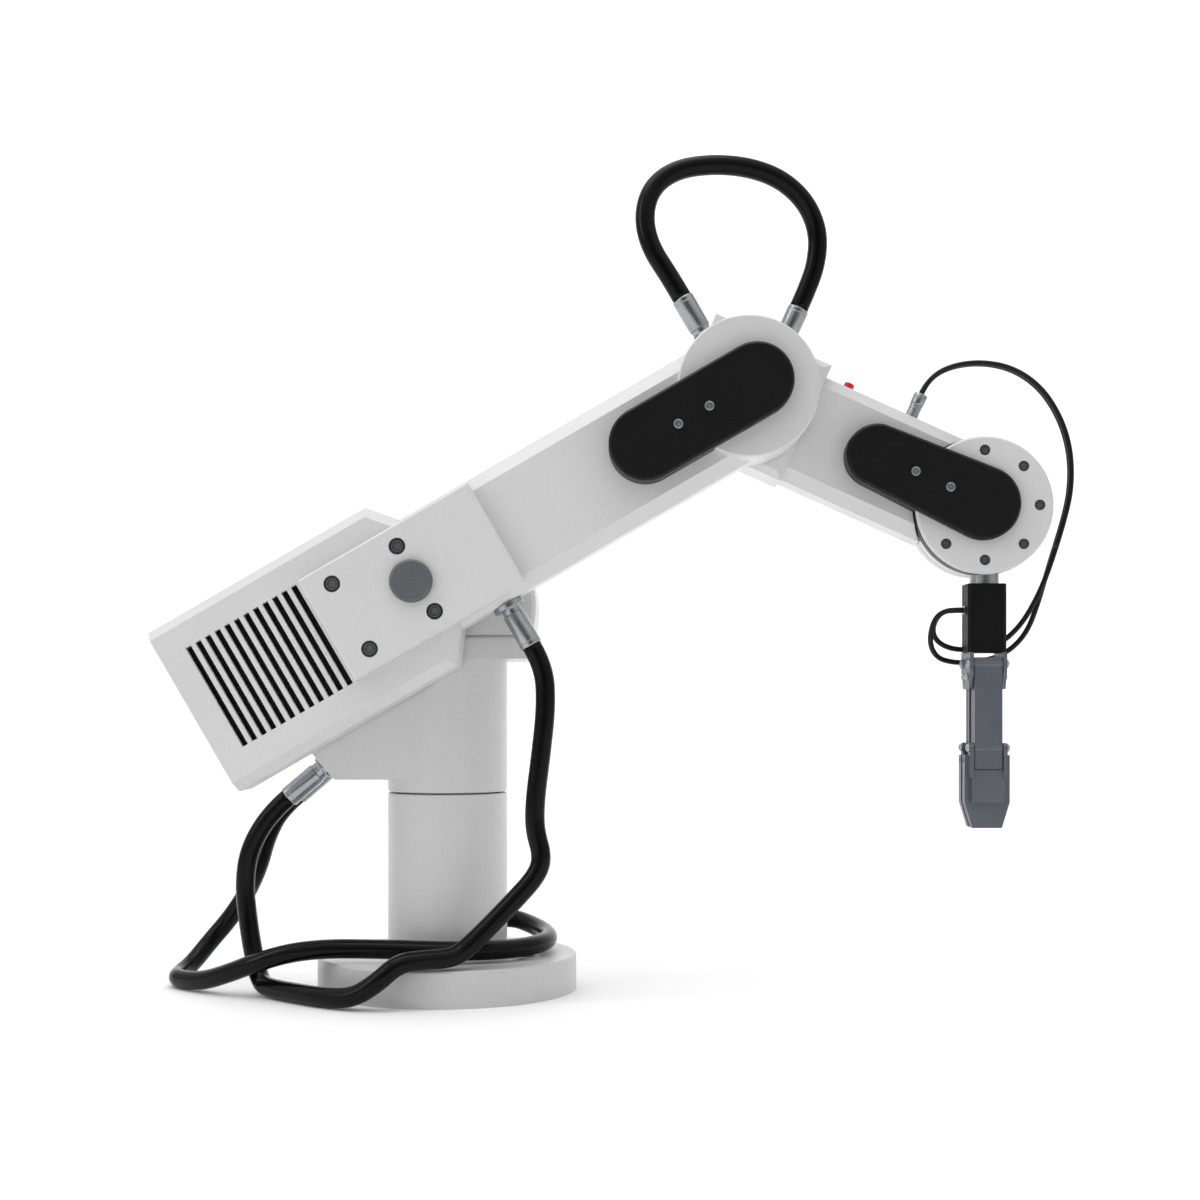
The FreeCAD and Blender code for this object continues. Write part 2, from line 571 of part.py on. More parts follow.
def belt_cover(name, near, far, small, large, levels, disc, inside_radii, roof, bevel, screws):
    """An oblong cap over a belt, with a round step cut in its back where it passes over a disc."""
    back, front, step = levels
    body = new_body(name)
    drawn = sketch(body, "XZ", "-(%s)" % back)
    oblong(drawn, near, far, small, large)
    block = pad(body, drawn, "%s - (%s)" % (back, front))
    doc.recompute()
    chamfer(body, block, face_at(block.Shape, lambda c: c.y < DIMENSIONS[front] + 0.1), bevel)
    under = sketch(body, "XZ", "-(%s)" % back)
    circle(under, disc[0], "0", disc[1])
    pocket(body, under, "%s - (%s)" % (back, step), reverse=True)
    inside = sketch(body, "XZ", "-(%s)" % back)
    oblong(inside, near, far, *inside_radii)
    pocket(body, inside, "%s - (%s) - %s" % (back, front, roof), reverse=True)
    holes = sketch(body, "XZ", "-(%s)" % front)
    for x, z in screws:
        circle(holes, x, z, "1.5")
    pocket(body, holes, roof)
    return body


def forearm():
    body = new_body("elbow_block")
    drawn = sketch(body, "XZ", "-block_back")
    polygon(drawn, [("block_near", "-block_low_half"), ("block_far", "-block_low_half"),
                    ("block_far", "block_half"), ("block_near", "block_half")])
    slab = pad(body, drawn, "block_back - block_front")
    doc.recompute()
    chamfer(body, slab, face_at(slab.Shape, lambda c: abs(c.y - DIMENSIONS["block_front"]) < 0.1),
            "block_bevel")
    hollow = sketch(body, "YZ", "block_far")
    polygon(hollow, [("block_front + 9", "-35"), ("block_back - 7", "-35"), ("block_back - 7", "35"),
                     ("block_front + 9", "35")])
    pocket(body, hollow, "84")
    node(body, "elbow_block", "forearm")

    axle = rod("elbow_axle", "Y", "axle_radius", "46", ("0", "-109", "0"))
    wheel = rod("elbow_wheel", "Y", "pulley_radius", "6", ("0", "-115", "0"))
    node(fuse("elbow_shaft", [axle, wheel]), "elbow_shaft", "forearm")

    casing = new_body("forearm_casing")
    drawn = sketch(casing, "XZ", "-fore_back")
    polygon(drawn, [("block_far", "-fore_half"), ("fore_length - 15", "-fore_half"),
                    ("fore_length - 15", "fore_half"), ("block_far", "fore_half")])
    slab = pad(casing, drawn, "fore_back - fore_front")
    doc.recompute()
    half = DIMENSIONS["fore_half"]
    long_edges = edges_at(slab.Shape,
                          lambda c: abs(abs(c.z) - half) < 0.1 and c.y < DIMENSIONS["fore_front"] + 0.1)
    chamfer(casing, slab, long_edges, "fore_bevel")
    ring = sketch(casing, "XZ", "-fore_front")
    circle(ring, "fore_length", "0", "disc_radius + 1")
    pocket(casing, ring, "disc_back + 1.5 - fore_front")
    ring = sketch(casing, "XZ", "-fore_front")
    circle(ring, "fore_length", "0", "disc_radius")
    pocket(casing, ring, "fore_back - fore_front")
    hollow = sketch(casing, "YZ", "block_far")
    polygon(hollow, [("fore_front + wall", "-33"), ("fore_back - wall", "-33"), ("fore_back - wall", "33"),
                     ("fore_front + wall", "33")])
    pocket(casing, hollow, "86", reverse=True)
    spindle = sketch(casing, "XZ", "-fore_front")
    circle(spindle, "fore_length - wrist_belt_span", "0", "3 + running_gap")
    pocket(casing, spindle, "wall")
    button_hole = sketch(casing, "XY", "fore_half")
    circle(button_hole, "button_u", "mid_y", "button_radius + running_gap")
    pocket(casing, button_hole, "10")
    disc = rod("back_disc", "Y", "disc_radius", "plate_back - disc_back - 1.5",
               ("fore_length", "disc_back + 1.5", "0"))
    bore = rod("back_disc_bore", "Y", "axle_radius + running_gap", "30", ("fore_length", "disc_back", "0"))
    node(cut("forearm_shell", fuse("forearm_blank", [casing, disc]), bore), "forearm_casing", "forearm")
    stem = rod("button_stem", "Z", "button_radius", "fore_half - 34.5 + button_rise",
               ("button_u", "mid_y", "34.5"))
    doc.recompute()
    cap = doc.addObject("Part::Chamfer", "button_cap")
    cap.Base = stem
    cap.Edges = [(i + 1, 0.5, 0.5) for i, edge in enumerate(stem.Shape.Edges)
                 if edge.CenterOfMass.z > DIMENSIONS["fore_half"] + 1]
    node(group("button", [cap]), "forearm_button", "forearm")

    flange = rod("socket_flange", "Z", "socket_radius + 1.4", "3", ("socket_u", "mid_y", "fore_half"))
    sleeve = rod("socket_sleeve", "Z", "socket_radius", "socket_length", ("socket_u", "mid_y", "fore_half"))
    node(fuse("cable_socket", [flange, sleeve]), "cable_socket", "forearm")

    reach = number("fore_length")
    near = (DIMENSIONS["fore_length"] - DIMENSIONS["wrist_belt_span"], "fore_length - wrist_belt_span")
    outer_reach = (DIMENSIONS["fore_length"] - DIMENSIONS["wrist_cover_shift"],
                   "fore_length - wrist_cover_shift")
    cover_screws = [("fore_length - %s" % u, "0") for u in ("29.6", "57.6")]
    cover = belt_cover("wrist_belt_cover", near, outer_reach, number("wrist_cover_small"),
                       number("wrist_cover_large"), ("fore_front", "wrist_cover_front", "disc_front - 0.3"),
                       ("fore_length", "disc_radius + 0.5"), ((19.5, "19.5"), (23, "23")), "1.4", "1.8",
                       cover_screws)
    node(cover, "wrist_belt_cover", "forearm")
    screws = [screw("fore_screw_%d" % i, x, "wrist_cover_front - 1.2", z, "3.4", "1.2", "1.5", "1.4")
              for i, (x, z) in enumerate(cover_screws)]
    node(group("fore_cover_screws", screws), "forearm_cover_screws", "forearm")
    can = rod("wrist_motor_can", "Y", "25", "22", ("fore_length - wrist_belt_span", "fore_front + wall", "0"))
    bore = rod("wrist_motor_bore", "Y", "3 + running_gap", "12",
               ("fore_length - wrist_belt_span", "fore_front + wall", "0"))
    node(cut("wrist_motor", can, bore), "wrist_motor", "forearm")
    node(pulley("wrist_pulley", "fore_length - wrist_belt_span", "-72.2", "4", "wrist_pulley", "3", "26"),
         "wrist_drive_pulley", "forearm")
    belt = belt_loop("wrist_belt", near, reach, (18.3, "18.3"), (16.3, "16.3"), "68.2", "4")
    node(belt, "wrist_belt", "forearm")

    port = fitting("block_fitting", "32")
    bind(port, {"Placement.Base.x": "10", "Placement.Base.y": "-42", "Placement.Base.z": "block_half"})
    node(group("forearm_fitting", [port]), "forearm_hose_fitting", "forearm")


def wrist():
    body = new_body("wrist_front_disc")
    drawn = sketch(body, "XZ", "-disc_back")
    circle(drawn, "0", "0", "disc_radius")
    slab = pad(body, drawn, "disc_back - disc_front")
    doc.recompute()
    chamfer(body, slab, face_at(slab.Shape, lambda c: c.y < DIMENSIONS["disc_front"] + 0.1), "1.5")
    bore = sketch(body, "XZ", "-disc_front")
    circle(bore, "0", "0", "12")
    pocket(body, bore, "disc_back - disc_front")
    seats = sketch(body, "XZ", "-disc_front")
    for eighth in range(8):
        circle(seats, "bolt_circle * cos(%d)" % (45 * eighth), "bolt_circle * sin(%d)" % (45 * eighth), "3.9")
    pocket(body, seats, "3.4")
    roll = sketch(body, "XY", "-disc_radius - 1")
    circle(roll, "hand_x - 402.7", "hand_y", "roll_radius + running_gap")
    pocket(body, roll, "14", reverse=True)
    groove = rod("groove_outer", "Y", "disc_radius + 5", "groove_back - groove_front",
                 ("0", "groove_front", "0"))
    keep = rod("groove_inner", "Y", "groove_radius", "groove_back - groove_front", ("0", "groove_front", "0"))
    node(cut("front_disc", body, cut("groove", groove, keep)), "wrist_front_disc", "wrist")
    ring = rod("seal_outer", "Y", "seal_radius", "groove_back - groove_front", ("0", "groove_front", "0"))
    hole = rod("seal_inner", "Y", "groove_radius", "groove_back - groove_front", ("0", "groove_front", "0"))
    roll_clear = rod("seal_roll", "Z", "roll_radius + running_gap", "20",
                     ("hand_x - 402.7", "hand_y", "-disc_radius - 1"))
    node(cut("seal", cut("seal_ring", ring, hole), roll_clear), "wrist_seal_ring", "wrist")
    screws = [screw("disc_screw_%d" % i, "bolt_circle * cos(%d)" % (45 * i), "disc_front - 0.1",
                    "bolt_circle * sin(%d)" % (45 * i), "3.8", "3", "2", "0.4") for i in range(8)]
    node(group("disc_screws", screws), "wrist_disc_screws", "wrist")
    core = rod("hub_core", "Y", "12", "34.2", ("0", "-72.2", "0"))
    wheel = rod("hub_wheel", "Y", "wrist_pulley", "4", ("0", "-72.2", "0"))
    journal = rod("hub_journal", "Y", "axle_radius", "plate_back - disc_back + 1", ("0", "disc_back", "0"))
    node(fuse("hub", [core, wheel, journal]), "wrist_hub", "wrist")


def hand():
    node(group("roll", [rod("roll_rod", "Z", "roll_radius", "18", ("0", "0", "body_top"))]), "roll_shaft",
         "hand")
    body = new_body("gripper_body")
    drawn = sketch(body, "XY", "body_low")
    polygon(drawn, [("-body_wide / 2", "-body_deep / 2"), ("body_wide / 2", "-body_deep / 2"),
                    ("body_wide / 2", "body_deep / 2"), ("-body_wide / 2", "body_deep / 2")])
    slab = pad(body, drawn, "body_top - body_low")
    doc.recompute()
    chamfer(body, slab, edges_at(slab.Shape, lambda c: 260 < c.z < 300), "2")
    node(body, "gripper_body", "hand")
    plug = box("plug_plate", ("-body_wide / 2 - plug_length", "-body_wide / 2"), ("-4.9", "4.9"),
               ("287.2", "292.8"))
    node(group("plug", [plug]), "gripper_plug", "hand")

    lugs = []
    for label, start in (("left", "-lug_outer"), ("right", "lug_inner")):
        lug = new_body("lug_" + label)
        drawn = sketch(lug, "YZ", start)
        polygon(drawn, [("-lug_reach", "body_low"), ("-lug_reach", "lug_shoulder"), ("-lug_foot", "lug_low"),
                        ("lug_foot", "lug_low"), ("lug_reach", "lug_shoulder"), ("lug_reach", "body_low")])
        pad(lug, drawn, "lug_outer - lug_inner")
        lugs.append(lug)
    holes = []
    pins = []
    for side in (-1, 1):
        for pivot, height in (("outer_pivot", "outer_top"), ("inner_pivot", "inner_top")):
            spot = ("-lug_outer - 1", "%d * %s" % (side, pivot), height)
            holes.append(rod("pin_hole_%d" % len(holes), "X", "pin_radius", "2 * lug_outer + 2", spot))
            spot = ("-lug_outer - 0.5", "%d * %s" % (side, pivot), height)
            pins.append(rod("pin_%d" % len(pins), "X", "pin_radius", "2 * lug_outer + 1", spot))
    drilled = [cut("%s_drilled" % lug.Name, lug, group("%s_holes" % lug.Name, holes)) for lug in lugs]
    node(group("bracket", drilled), "gripper_bracket", "hand")
    node(group("pins", pins), "gripper_pins", "hand")
    for side, label in ((-1, "front"), (1, "rear")):
        finger(side, label)


def link(name, side, pivot, top, half_thick, above, below):
    """A flat finger link with its pin bore at the top and cross trunnions at the bottom."""
    middle = "%d * %s" % (side, pivot)
    plate = box(name + "_plate", ("-link_half", "link_half"),
                ("%s - %s" % (middle, half_thick), "%s + %s" % (middle, half_thick)),
                ("%s - link_length - %s" % (top, below), "%s + %s" % (top, above)))
    boss = rod(name + "_boss", "X", "2.9", "2 * link_half", ("-link_half", middle, top))
    cross = rod(name + "_cross", "X", "pin_radius", "32.4", ("-16.2", middle, "%s - link_length" % top))
    knuckle = rod(name + "_knuckle", "X", "2.9", "2 * link_half",
                  ("-link_half", middle, "%s - link_length" % top))
    bore = rod(name + "_bore", "X", "pin_radius + running_gap", "40", ("-20", middle, top))
    return cut(name, fuse(name + "_blank", [plate, boss, cross, knuckle]), bore)


def across_gap(side, inner, outer):
    """Y from the inner to the outer distance from the middle of the gripper, on one finger's side."""
    near, far = "%d * %s" % (side, inner), "%d * %s" % (side, outer)
    return (far, near) if side < 0 else (near, far)


def finger(side, label):
    outer = link(label + "_outer", side, "outer_pivot", "outer_top", "2.4", "4.9", "15.8")
    node(outer, label + "_outer_link", "hand")
    inner = link(label + "_inner", side, "inner_pivot", "inner_top", "2.2", "2", "2")
    node(inner, label + "_inner_link", "hand")
    low, high = across_gap(side, "jaw_gap", "jaw_depth")
    neck = across_gap(side, "(outer_pivot - ear_radius)", "(outer_pivot + ear_radius)")
    block = box(label + "_block", ("-jaw_half", "jaw_half"), (low, high), ("jaw_step", "pad_top"))
    palm = box(label + "_palm", ("-pad_half", "pad_half"), across_gap(side, "jaw_gap", "jaw_pad"),
               ("jaw_step", "pad_top"))
    tip = doc.addObject("Part::Wedge", label + "_tip")
    tip.Placement = FreeCAD.Placement(V(), FreeCAD.Rotation(V(1, 0, 0), 90))
    bind(tip, {"Xmin": "-lug_inner", "Xmax": "lug_inner", "X2min": "-jaw_half", "X2max": "jaw_half",
               "Ymin": "jaw_low", "Ymax": "jaw_step", "Zmin": "-(%s)" % high, "Zmax": "-(%s)" % low,
               "Z2min": "-(%s)" % high, "Z2max": "-(%s)" % low})
    walls = []
    for hand, (inner, outer, ear) in (("left", ("-lug_inner", "-jaw_half", "-ear_outer")),
                                      ("right", ("lug_inner", "jaw_half", "ear_outer"))):
        across = (outer, inner) if hand == "left" else (inner, outer)
        thin = (ear, inner) if hand == "left" else (inner, ear)
        walls.append(box("%s_cheek_%s" % (label, hand), across, (low, high), ("pad_top", "jaw_top")))
        walls.append(box("%s_neck_%s" % (label, hand), thin, neck, ("pad_top - 6", "outer_top - link_length")))
        walls.append(rod("%s_ear_%s" % (label, hand), "X", "ear_radius", "ear_outer - lug_inner",
                         (thin[0], "%d * outer_pivot" % side, "outer_top - link_length")))
    holes = [rod("%s_jaw_hole_%s" % (label, pivot), "X", gap, "40", ("-20", "%d * %s" % (side, pivot), height))
             for pivot, height, gap in (("outer_pivot", "outer_top - link_length", "pin_radius + running_gap"),
                                        ("inner_pivot", "inner_top - link_length", "pin_radius + 0.1"))]
    blank = fuse(label + "_jaw_blank", [block, palm, tip] + walls)
    node(cut(label + "_jaw_cut", blank, fuse(label + "_jaw_holes", holes)), label + "_jaw", "hand")


# Hoses and cables. Each route is a hand-chosen list of points; the tube runs straight between them and
# rounds each one with an arc as large as its two runs allow.

HOSE = 14.5
CABLE = 4.0
END_GAP = 0.1


def arm_port(u, v):
    """A point of the upper arm, from its distance along and above the arm's axis."""
    tilt = math.radians(DIMENSIONS["arm_tilt"])
    return (DIMENSIONS["shoulder_x"] + u * math.cos(tilt) - v * math.sin(tilt),
            DIMENSIONS["shoulder_z"] + u * math.sin(tilt) + v * math.cos(tilt))


def fore_port(u, v):
    """A point of the forearm, from its distance along and above the forearm's axis."""
    slope = math.radians(DIMENSIONS["fore_tilt"])
    elbow_x, elbow_z = arm_port(DIMENSIONS["arm_length"], 0)
    return (elbow_x + u * math.cos(slope) + v * math.sin(slope),
            elbow_z - u * math.sin(slope) + v * math.cos(slope))


def turret_port(reach):
    """A point on the axis of the turret's fittings, from its distance out of the slanted face."""
    run = DIMENSIONS["block_corner"] - DIMENSIONS["block_left"]
    rise = DIMENSIONS["block_rise"] - DIMENSIONS["block_low"]
    slant = math.hypot(run, rise)
    climb = DIMENSIONS["port_climb"]
    return (DIMENSIONS["block_corner"] - run * climb / slant - reach * rise / slant,
            DIMENSIONS["block_low"] + rise * climb / slant - reach * run / slant)


def tube(name, diameter, points):
    corners = [V(*point) for point in points]
    edges = []
    start = corners[0]
    radii = []
    for before, corner, after in zip(corners, corners[1:], corners[2:]):
        back, ahead = (before - corner), (after - corner)
        reach = 0.45 * min(back.Length, ahead.Length)
        turn = math.pi - back.getAngle(ahead)
        radii.append(reach / math.tan(turn / 2))
        first = corner + back.normalize() * reach
        last = corner + ahead.normalize() * reach
        bisector = (back + ahead).normalize()
        depth = radii[-1] * (1 / math.cos(turn / 2) - 1)
        edges.append(Part.LineSegment(start, first).toShape())
        edges.append(Part.Arc(first, corner + bisector * depth, last).toShape())
        start = last
    edges.append(Part.LineSegment(start, corners[-1]).toShape())
    path = Part.Wire(edges)
    section = Part.Wire([Part.Circle(corners[0], corners[1] - corners[0], diameter / 2).toShape()])
    solid = path.makePipeShell([section], True, True)
    wanted = math.pi * diameter ** 2 / 4 * path.Length
    print("%s: length %.0f, volume ratio %.4f, turns %s" % (
        name, path.Length, solid.Volume / wanted, " ".join("%.0f" % radius for radius in radii)))
    made = doc.addObject("Part::Feature", name)
    made.Shape = solid
    made.Placement = FreeCAD.Placement()
    node(made, name)


def cords():
    under = -DIMENSIONS["beam_half"] - 35.6
    drum = DIMENSIONS["drum_radius"] - DIMENSIONS["drum_seat"] + 34
    front = DIMENSIONS["arm_port_y"]
    port, drum_u, step = DIMENSIONS["arm_port_u"], DIMENSIONS["drum_port_u"], 18
    (x1, z1), (x2, z2) = arm_port(port, under - END_GAP), arm_port(port, under - step)
    (x3, z3), (x4, z4) = turret_port(38 + step), turret_port(38 + END_GAP)
    y = DIMENSIONS["port_front"]
    tube("arm_hose", HOSE, [
        (x1, front, z1), (x2, front, z2), (79, -77, 219), (75.5, -77, 185), (71, -77, 151), (69.5, -77, 124),
        (74, -78, 104), (66, -80, 87), (48, -81.5, 70), (31, -85, 54), (14, -90, 41), (-3, -97, 37),
        (-20, -106, 34), (-36, -111, 24), (-53, -108, 13), (-74, -98, 8), (-98, -80, 7.6), (-120, -59, 7.6),
        (-137, -38, 11), (-146, -26, 30), (-151, -22, 56), (-154, -21, 84), (-149.5, -22, 111), (x3, y, z3),
        (x4, y, z4)])
    y = DIMENSIONS["port_rear"]
    tube("supply_hose", HOSE, [
        (x4, y, z4), (x3, y, z3), (-146, 26, 115), (-154, 36, 91), (-166, 45, 68), (-181, 53, 46),
        (-197, 58, 27), (-212, 54, 13), (-220, 41, 8), (-221, 24, 7.5), (-215, 7, 7.5), (-202, -11, 7.5),
        (-183, -28, 9.5), (-161, -43.5, 17.5), (-137.5, -55, 27.5), (-111, -59.5, 35.5), (-84, -61, 38.5),
        (-56, -62, 38.5), (-28, -63, 38), (0, -64, 37), (27, -59, 36.5), (52, -45, 36), (71, -22, 36.2),
        (79, 5, 37), (75, 32, 39), (62, 54, 42.5), (48, 66, 46), (32 + END_GAP, 66, 46)])
    (x1, z1), (x2, z2) = arm_port(drum_u, drum + END_GAP), arm_port(drum_u, drum + step)
    top = DIMENSIONS["block_half"] + 32
    (x3, z3), (x4, z4) = fore_port(10, top + step), fore_port(10, top + END_GAP)
    tube("elbow_hose", HOSE, [
        (x1, front - 5, z1), (x2, front - 5, z2), (155, -81, 553), (150, -79, 576), (156, -75, 598.5),
        (174, -71, 613), (200, -66, 618.6), (228, -60, 618.6), (253.5, -54, 611.6), (273, -48, 596),
        (282.5, -44, 575), (281.5, -42, 553), (x3, -42, z3), (x4, -42, z4)])
    top = DIMENSIONS["fore_half"] + DIMENSIONS["socket_length"]
    u = DIMENSIONS["socket_u"]
    (x1, z1), (x2, z2) = fore_port(u, top + END_GAP), fore_port(u, top + 11)
    for name, shift in (("first", -2.15), ("second", 2.15)):
        y = DIMENSIONS["mid_y"] + shift
        tube(name + "_cable_upper", CABLE, [
            (x1, y, z1), (x2, y, z2), (380, y, 474), (404, y, 478), (429, y, 473.5), (450, y, 459.5),
            (465, y, 437), (473, y, 411), (473.5, y, 383), (468, y, 358), (462, y, 339)])
    left = DIMENSIONS["hand_x"] - DIMENSIONS["body_wide"] / 2 - DIMENSIONS["plug_length"] - END_GAP
    tube("first_cable_lower", CABLE, [
        (461.95, -42.15, 338.84), (456, -42.15, 320), (447.5, -40, 299), (436, -38, 279), (420, -36.5, 264.5),
        (400, -36, 261), (385, -36.5, 261.5), (374, -38.5, 266), (368.5, -42, 274), (370, -46, 283.5),
        (375.5, -49.3, 289.3), (383, -50.15, 290), (left, -50.15, 290)])
    tube("second_cable_lower", CABLE, [
        (461.95, -37.85, 338.84), (456.3, -37.85, 321), (450, -36.5, 297), (441, -34, 272), (424, -32, 256.5),
        (401, -32, 251.5), (386, -34, 251.5), (373, -40, 254.5), (366, -47, 263.5), (365.5, -52, 275),
        (369, -53.8, 285), (376, -54.3, 289.4), (384, -54.45, 290), (left, -54.45, 290)])


base()
turret()
upper_arm()
forearm()
wrist()
hand()
cords()
doc.recompute()

for item in doc.Objects:
    if "Invalid" in item.State or "Error" in item.State:
        raise RuntimeError("%s failed: %s" % (item.Name, item.State))
for feature in CUTS:
    if feature.Shape.Volume >= feature.BaseFeature.Shape.Volume - 0.01:
        raise RuntimeError(feature.Name + " cuts nothing")
for made, name in EXPORTS:
    if made.Shape.isNull() or not made.Shape.isValid() or made.Shape.Volume <= 0:
        raise RuntimeError(name + " has no valid shape")
    made.Shape.exportStep("parts/%s.step" % name)
print("%d sub-parts" % len(EXPORTS))
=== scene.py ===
import bpy
import bmesh
import json
import math
from mathutils import Matrix, Vector


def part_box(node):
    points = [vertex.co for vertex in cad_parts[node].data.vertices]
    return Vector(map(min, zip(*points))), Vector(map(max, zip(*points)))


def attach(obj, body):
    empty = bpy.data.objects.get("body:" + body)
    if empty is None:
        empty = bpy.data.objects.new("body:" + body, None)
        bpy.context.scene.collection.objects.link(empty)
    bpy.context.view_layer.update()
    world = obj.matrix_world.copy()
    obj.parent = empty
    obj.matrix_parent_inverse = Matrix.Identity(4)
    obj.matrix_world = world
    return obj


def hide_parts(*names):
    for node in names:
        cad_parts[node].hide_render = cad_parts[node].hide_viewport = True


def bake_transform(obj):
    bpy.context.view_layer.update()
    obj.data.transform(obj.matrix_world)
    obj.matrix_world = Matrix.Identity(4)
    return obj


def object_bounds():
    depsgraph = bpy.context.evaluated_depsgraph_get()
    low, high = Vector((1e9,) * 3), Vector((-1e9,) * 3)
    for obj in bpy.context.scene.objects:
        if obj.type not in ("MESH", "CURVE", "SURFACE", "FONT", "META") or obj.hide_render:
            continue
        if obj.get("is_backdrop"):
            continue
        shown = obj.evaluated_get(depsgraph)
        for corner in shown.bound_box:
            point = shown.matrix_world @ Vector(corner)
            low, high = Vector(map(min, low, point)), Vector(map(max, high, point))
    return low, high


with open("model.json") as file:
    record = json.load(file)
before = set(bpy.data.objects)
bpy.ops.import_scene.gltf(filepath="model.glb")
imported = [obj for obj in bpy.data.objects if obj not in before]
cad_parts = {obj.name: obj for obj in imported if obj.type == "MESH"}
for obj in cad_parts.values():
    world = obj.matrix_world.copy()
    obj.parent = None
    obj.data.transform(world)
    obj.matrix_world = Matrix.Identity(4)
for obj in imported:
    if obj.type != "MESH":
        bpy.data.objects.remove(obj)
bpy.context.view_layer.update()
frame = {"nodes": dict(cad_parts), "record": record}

NODES = frame["nodes"]

# ---------------------------------------------------------------- camera

CAMERA_PLACE = (0.1184, -1.297, 0.2116)
LENS = 50.0
SENSOR = 36.0
RISE = 0.096
FARTHEST = 20.0

camera = bpy.data.objects.new("camera", bpy.data.cameras.new("camera"))
camera.data.lens = LENS
camera.data.sensor_width = SENSOR
camera.data.shift_y = RISE
camera.data.clip_end = FARTHEST
camera.location = CAMERA_PLACE
camera.rotation_euler = (math.pi / 2, 0, 0)
bpy.context.scene.collection.objects.link(camera)
bpy.context.scene.camera = camera


# ---------------------------------------------------------------- materials

class Nodes:
    """A new material and short ways to add nodes to it."""

    def __init__(self, name):
        self.material = bpy.data.materials.new(name)
        self.material.use_nodes = True
        self.tree = self.material.node_tree
        self.shader = self.tree.nodes["Principled BSDF"]
        self.place = self.add("ShaderNodeTexCoord").outputs["Object"]

    def add(self, kind, **values):
        made = self.tree.nodes.new(kind)
        for key, value in values.items():
            setattr(made, key, value)
        return made

    def link(self, source, target):
        self.tree.links.new(source, target)

    def noise(self, scale, detail=3.0, roughness=0.5, stretch=None):
        made = self.add("ShaderNodeTexNoise")
        made.inputs["Scale"].default_value = scale
        made.inputs["Detail"].default_value = detail
        made.inputs["Roughness"].default_value = roughness
        source = self.place
        if stretch:
            mapping = self.add("ShaderNodeMapping")
            mapping.inputs["Scale"].default_value = stretch
            self.link(self.place, mapping.inputs["Vector"])
            source = mapping.outputs["Vector"]
        self.link(source, made.inputs["Vector"])
        return made.outputs["Fac"]

    def ramp(self, source, stops):
        made = self.add("ShaderNodeValToRGB")
        ramp = made.color_ramp
        while len(ramp.elements) < len(stops):
            ramp.elements.new(0.5)
        for element, (position, colour) in zip(ramp.elements, stops):
            element.position = position
            element.color = (*colour, 1.0)
        self.link(source, made.inputs["Fac"])
        return made.outputs["Color"]

    def mix(self, first, second, factor):
        made = self.add("ShaderNodeMix", data_type="RGBA", blend_type="MULTIPLY")
        made.inputs[0].default_value = factor
        self.link(first, made.inputs[6])
        self.link(second, made.inputs[7])
        return made.outputs[2]

    def range(self, source, low, high):
        made = self.add("ShaderNodeMapRange")
        made.inputs["To Min"].default_value = low
        made.inputs["To Max"].default_value = high
        self.link(source, made.inputs["Value"])
        return made.outputs["Result"]

    def bump(self, height, strength, distance, edge=0.0):
        made = self.add("ShaderNodeBump")
        made.inputs["Strength"].default_value = strength
        made.inputs["Distance"].default_value = distance
        self.link(height, made.inputs["Height"])
        if edge:
            bevel = self.add("ShaderNodeBevel", samples=4)
            bevel.inputs["Radius"].default_value = edge
            self.link(bevel.outputs["Normal"], made.inputs["Normal"])
        self.link(made.outputs["Normal"], self.shader.inputs["Normal"])

    def set(self, **values):
        for key, value in values.items():
            self.shader.inputs[key.replace("_", " ")].default_value = value


def grey(level):
    return (level, level, level)


def enamel(name, tint):
    """Sprayed off-white enamel: fine dark speckle, faint cloudiness and orange-peel gloss."""
    m = Nodes(name)
    speckle = m.ramp(m.noise(1250, 3.0, 0.65), [(0.32, grey(0.86)), (0.52, grey(1.0))])
    cloud = m.ramp(m.noise(14, 4.0), [(0.3, tuple(c * 0.965 for c in tint)), (0.7, tint)])
    m.link(m.mix(cloud, speckle, 0.7), m.shader.inputs["Base Color"])
    m.link(m.range(m.noise(60, 4.0), 0.34, 0.46), m.shader.inputs["Roughness"])
    m.set(Coat_Weight=0.12, Coat_Roughness=0.25)
    m.bump(m.noise(1500, 3.0), 0.18, 0.0002, edge=0.0006)
    return m.material


def metal(name, colour, rough, grain=(1, 1, 1), metallic=1.0, edge=0.0004, depth=0.12, streak=0.82):
    """Turned or brushed metal with a directional grain and slight tarnish."""
    m = Nodes(name)
    tarnish = m.ramp(m.noise(45, 5.0), [(0.3, tuple(c * 0.86 for c in colour)), (0.75, colour)])
    lines = m.ramp(m.noise(700, 4.0, 0.6, stretch=grain), [(0.25, grey(streak)), (0.75, grey(1.0))])
    m.link(m.mix(tarnish, lines, 0.6), m.shader.inputs["Base Color"])
    m.link(m.range(m.noise(900, 3.0, 0.6, stretch=grain), rough * 0.8, rough * 1.3),
           m.shader.inputs["Roughness"])
    m.set(Metallic=metallic)
    m.bump(m.noise(1400, 2.0, 0.5, stretch=grain), depth, 0.0001, edge=edge)
    return m.material


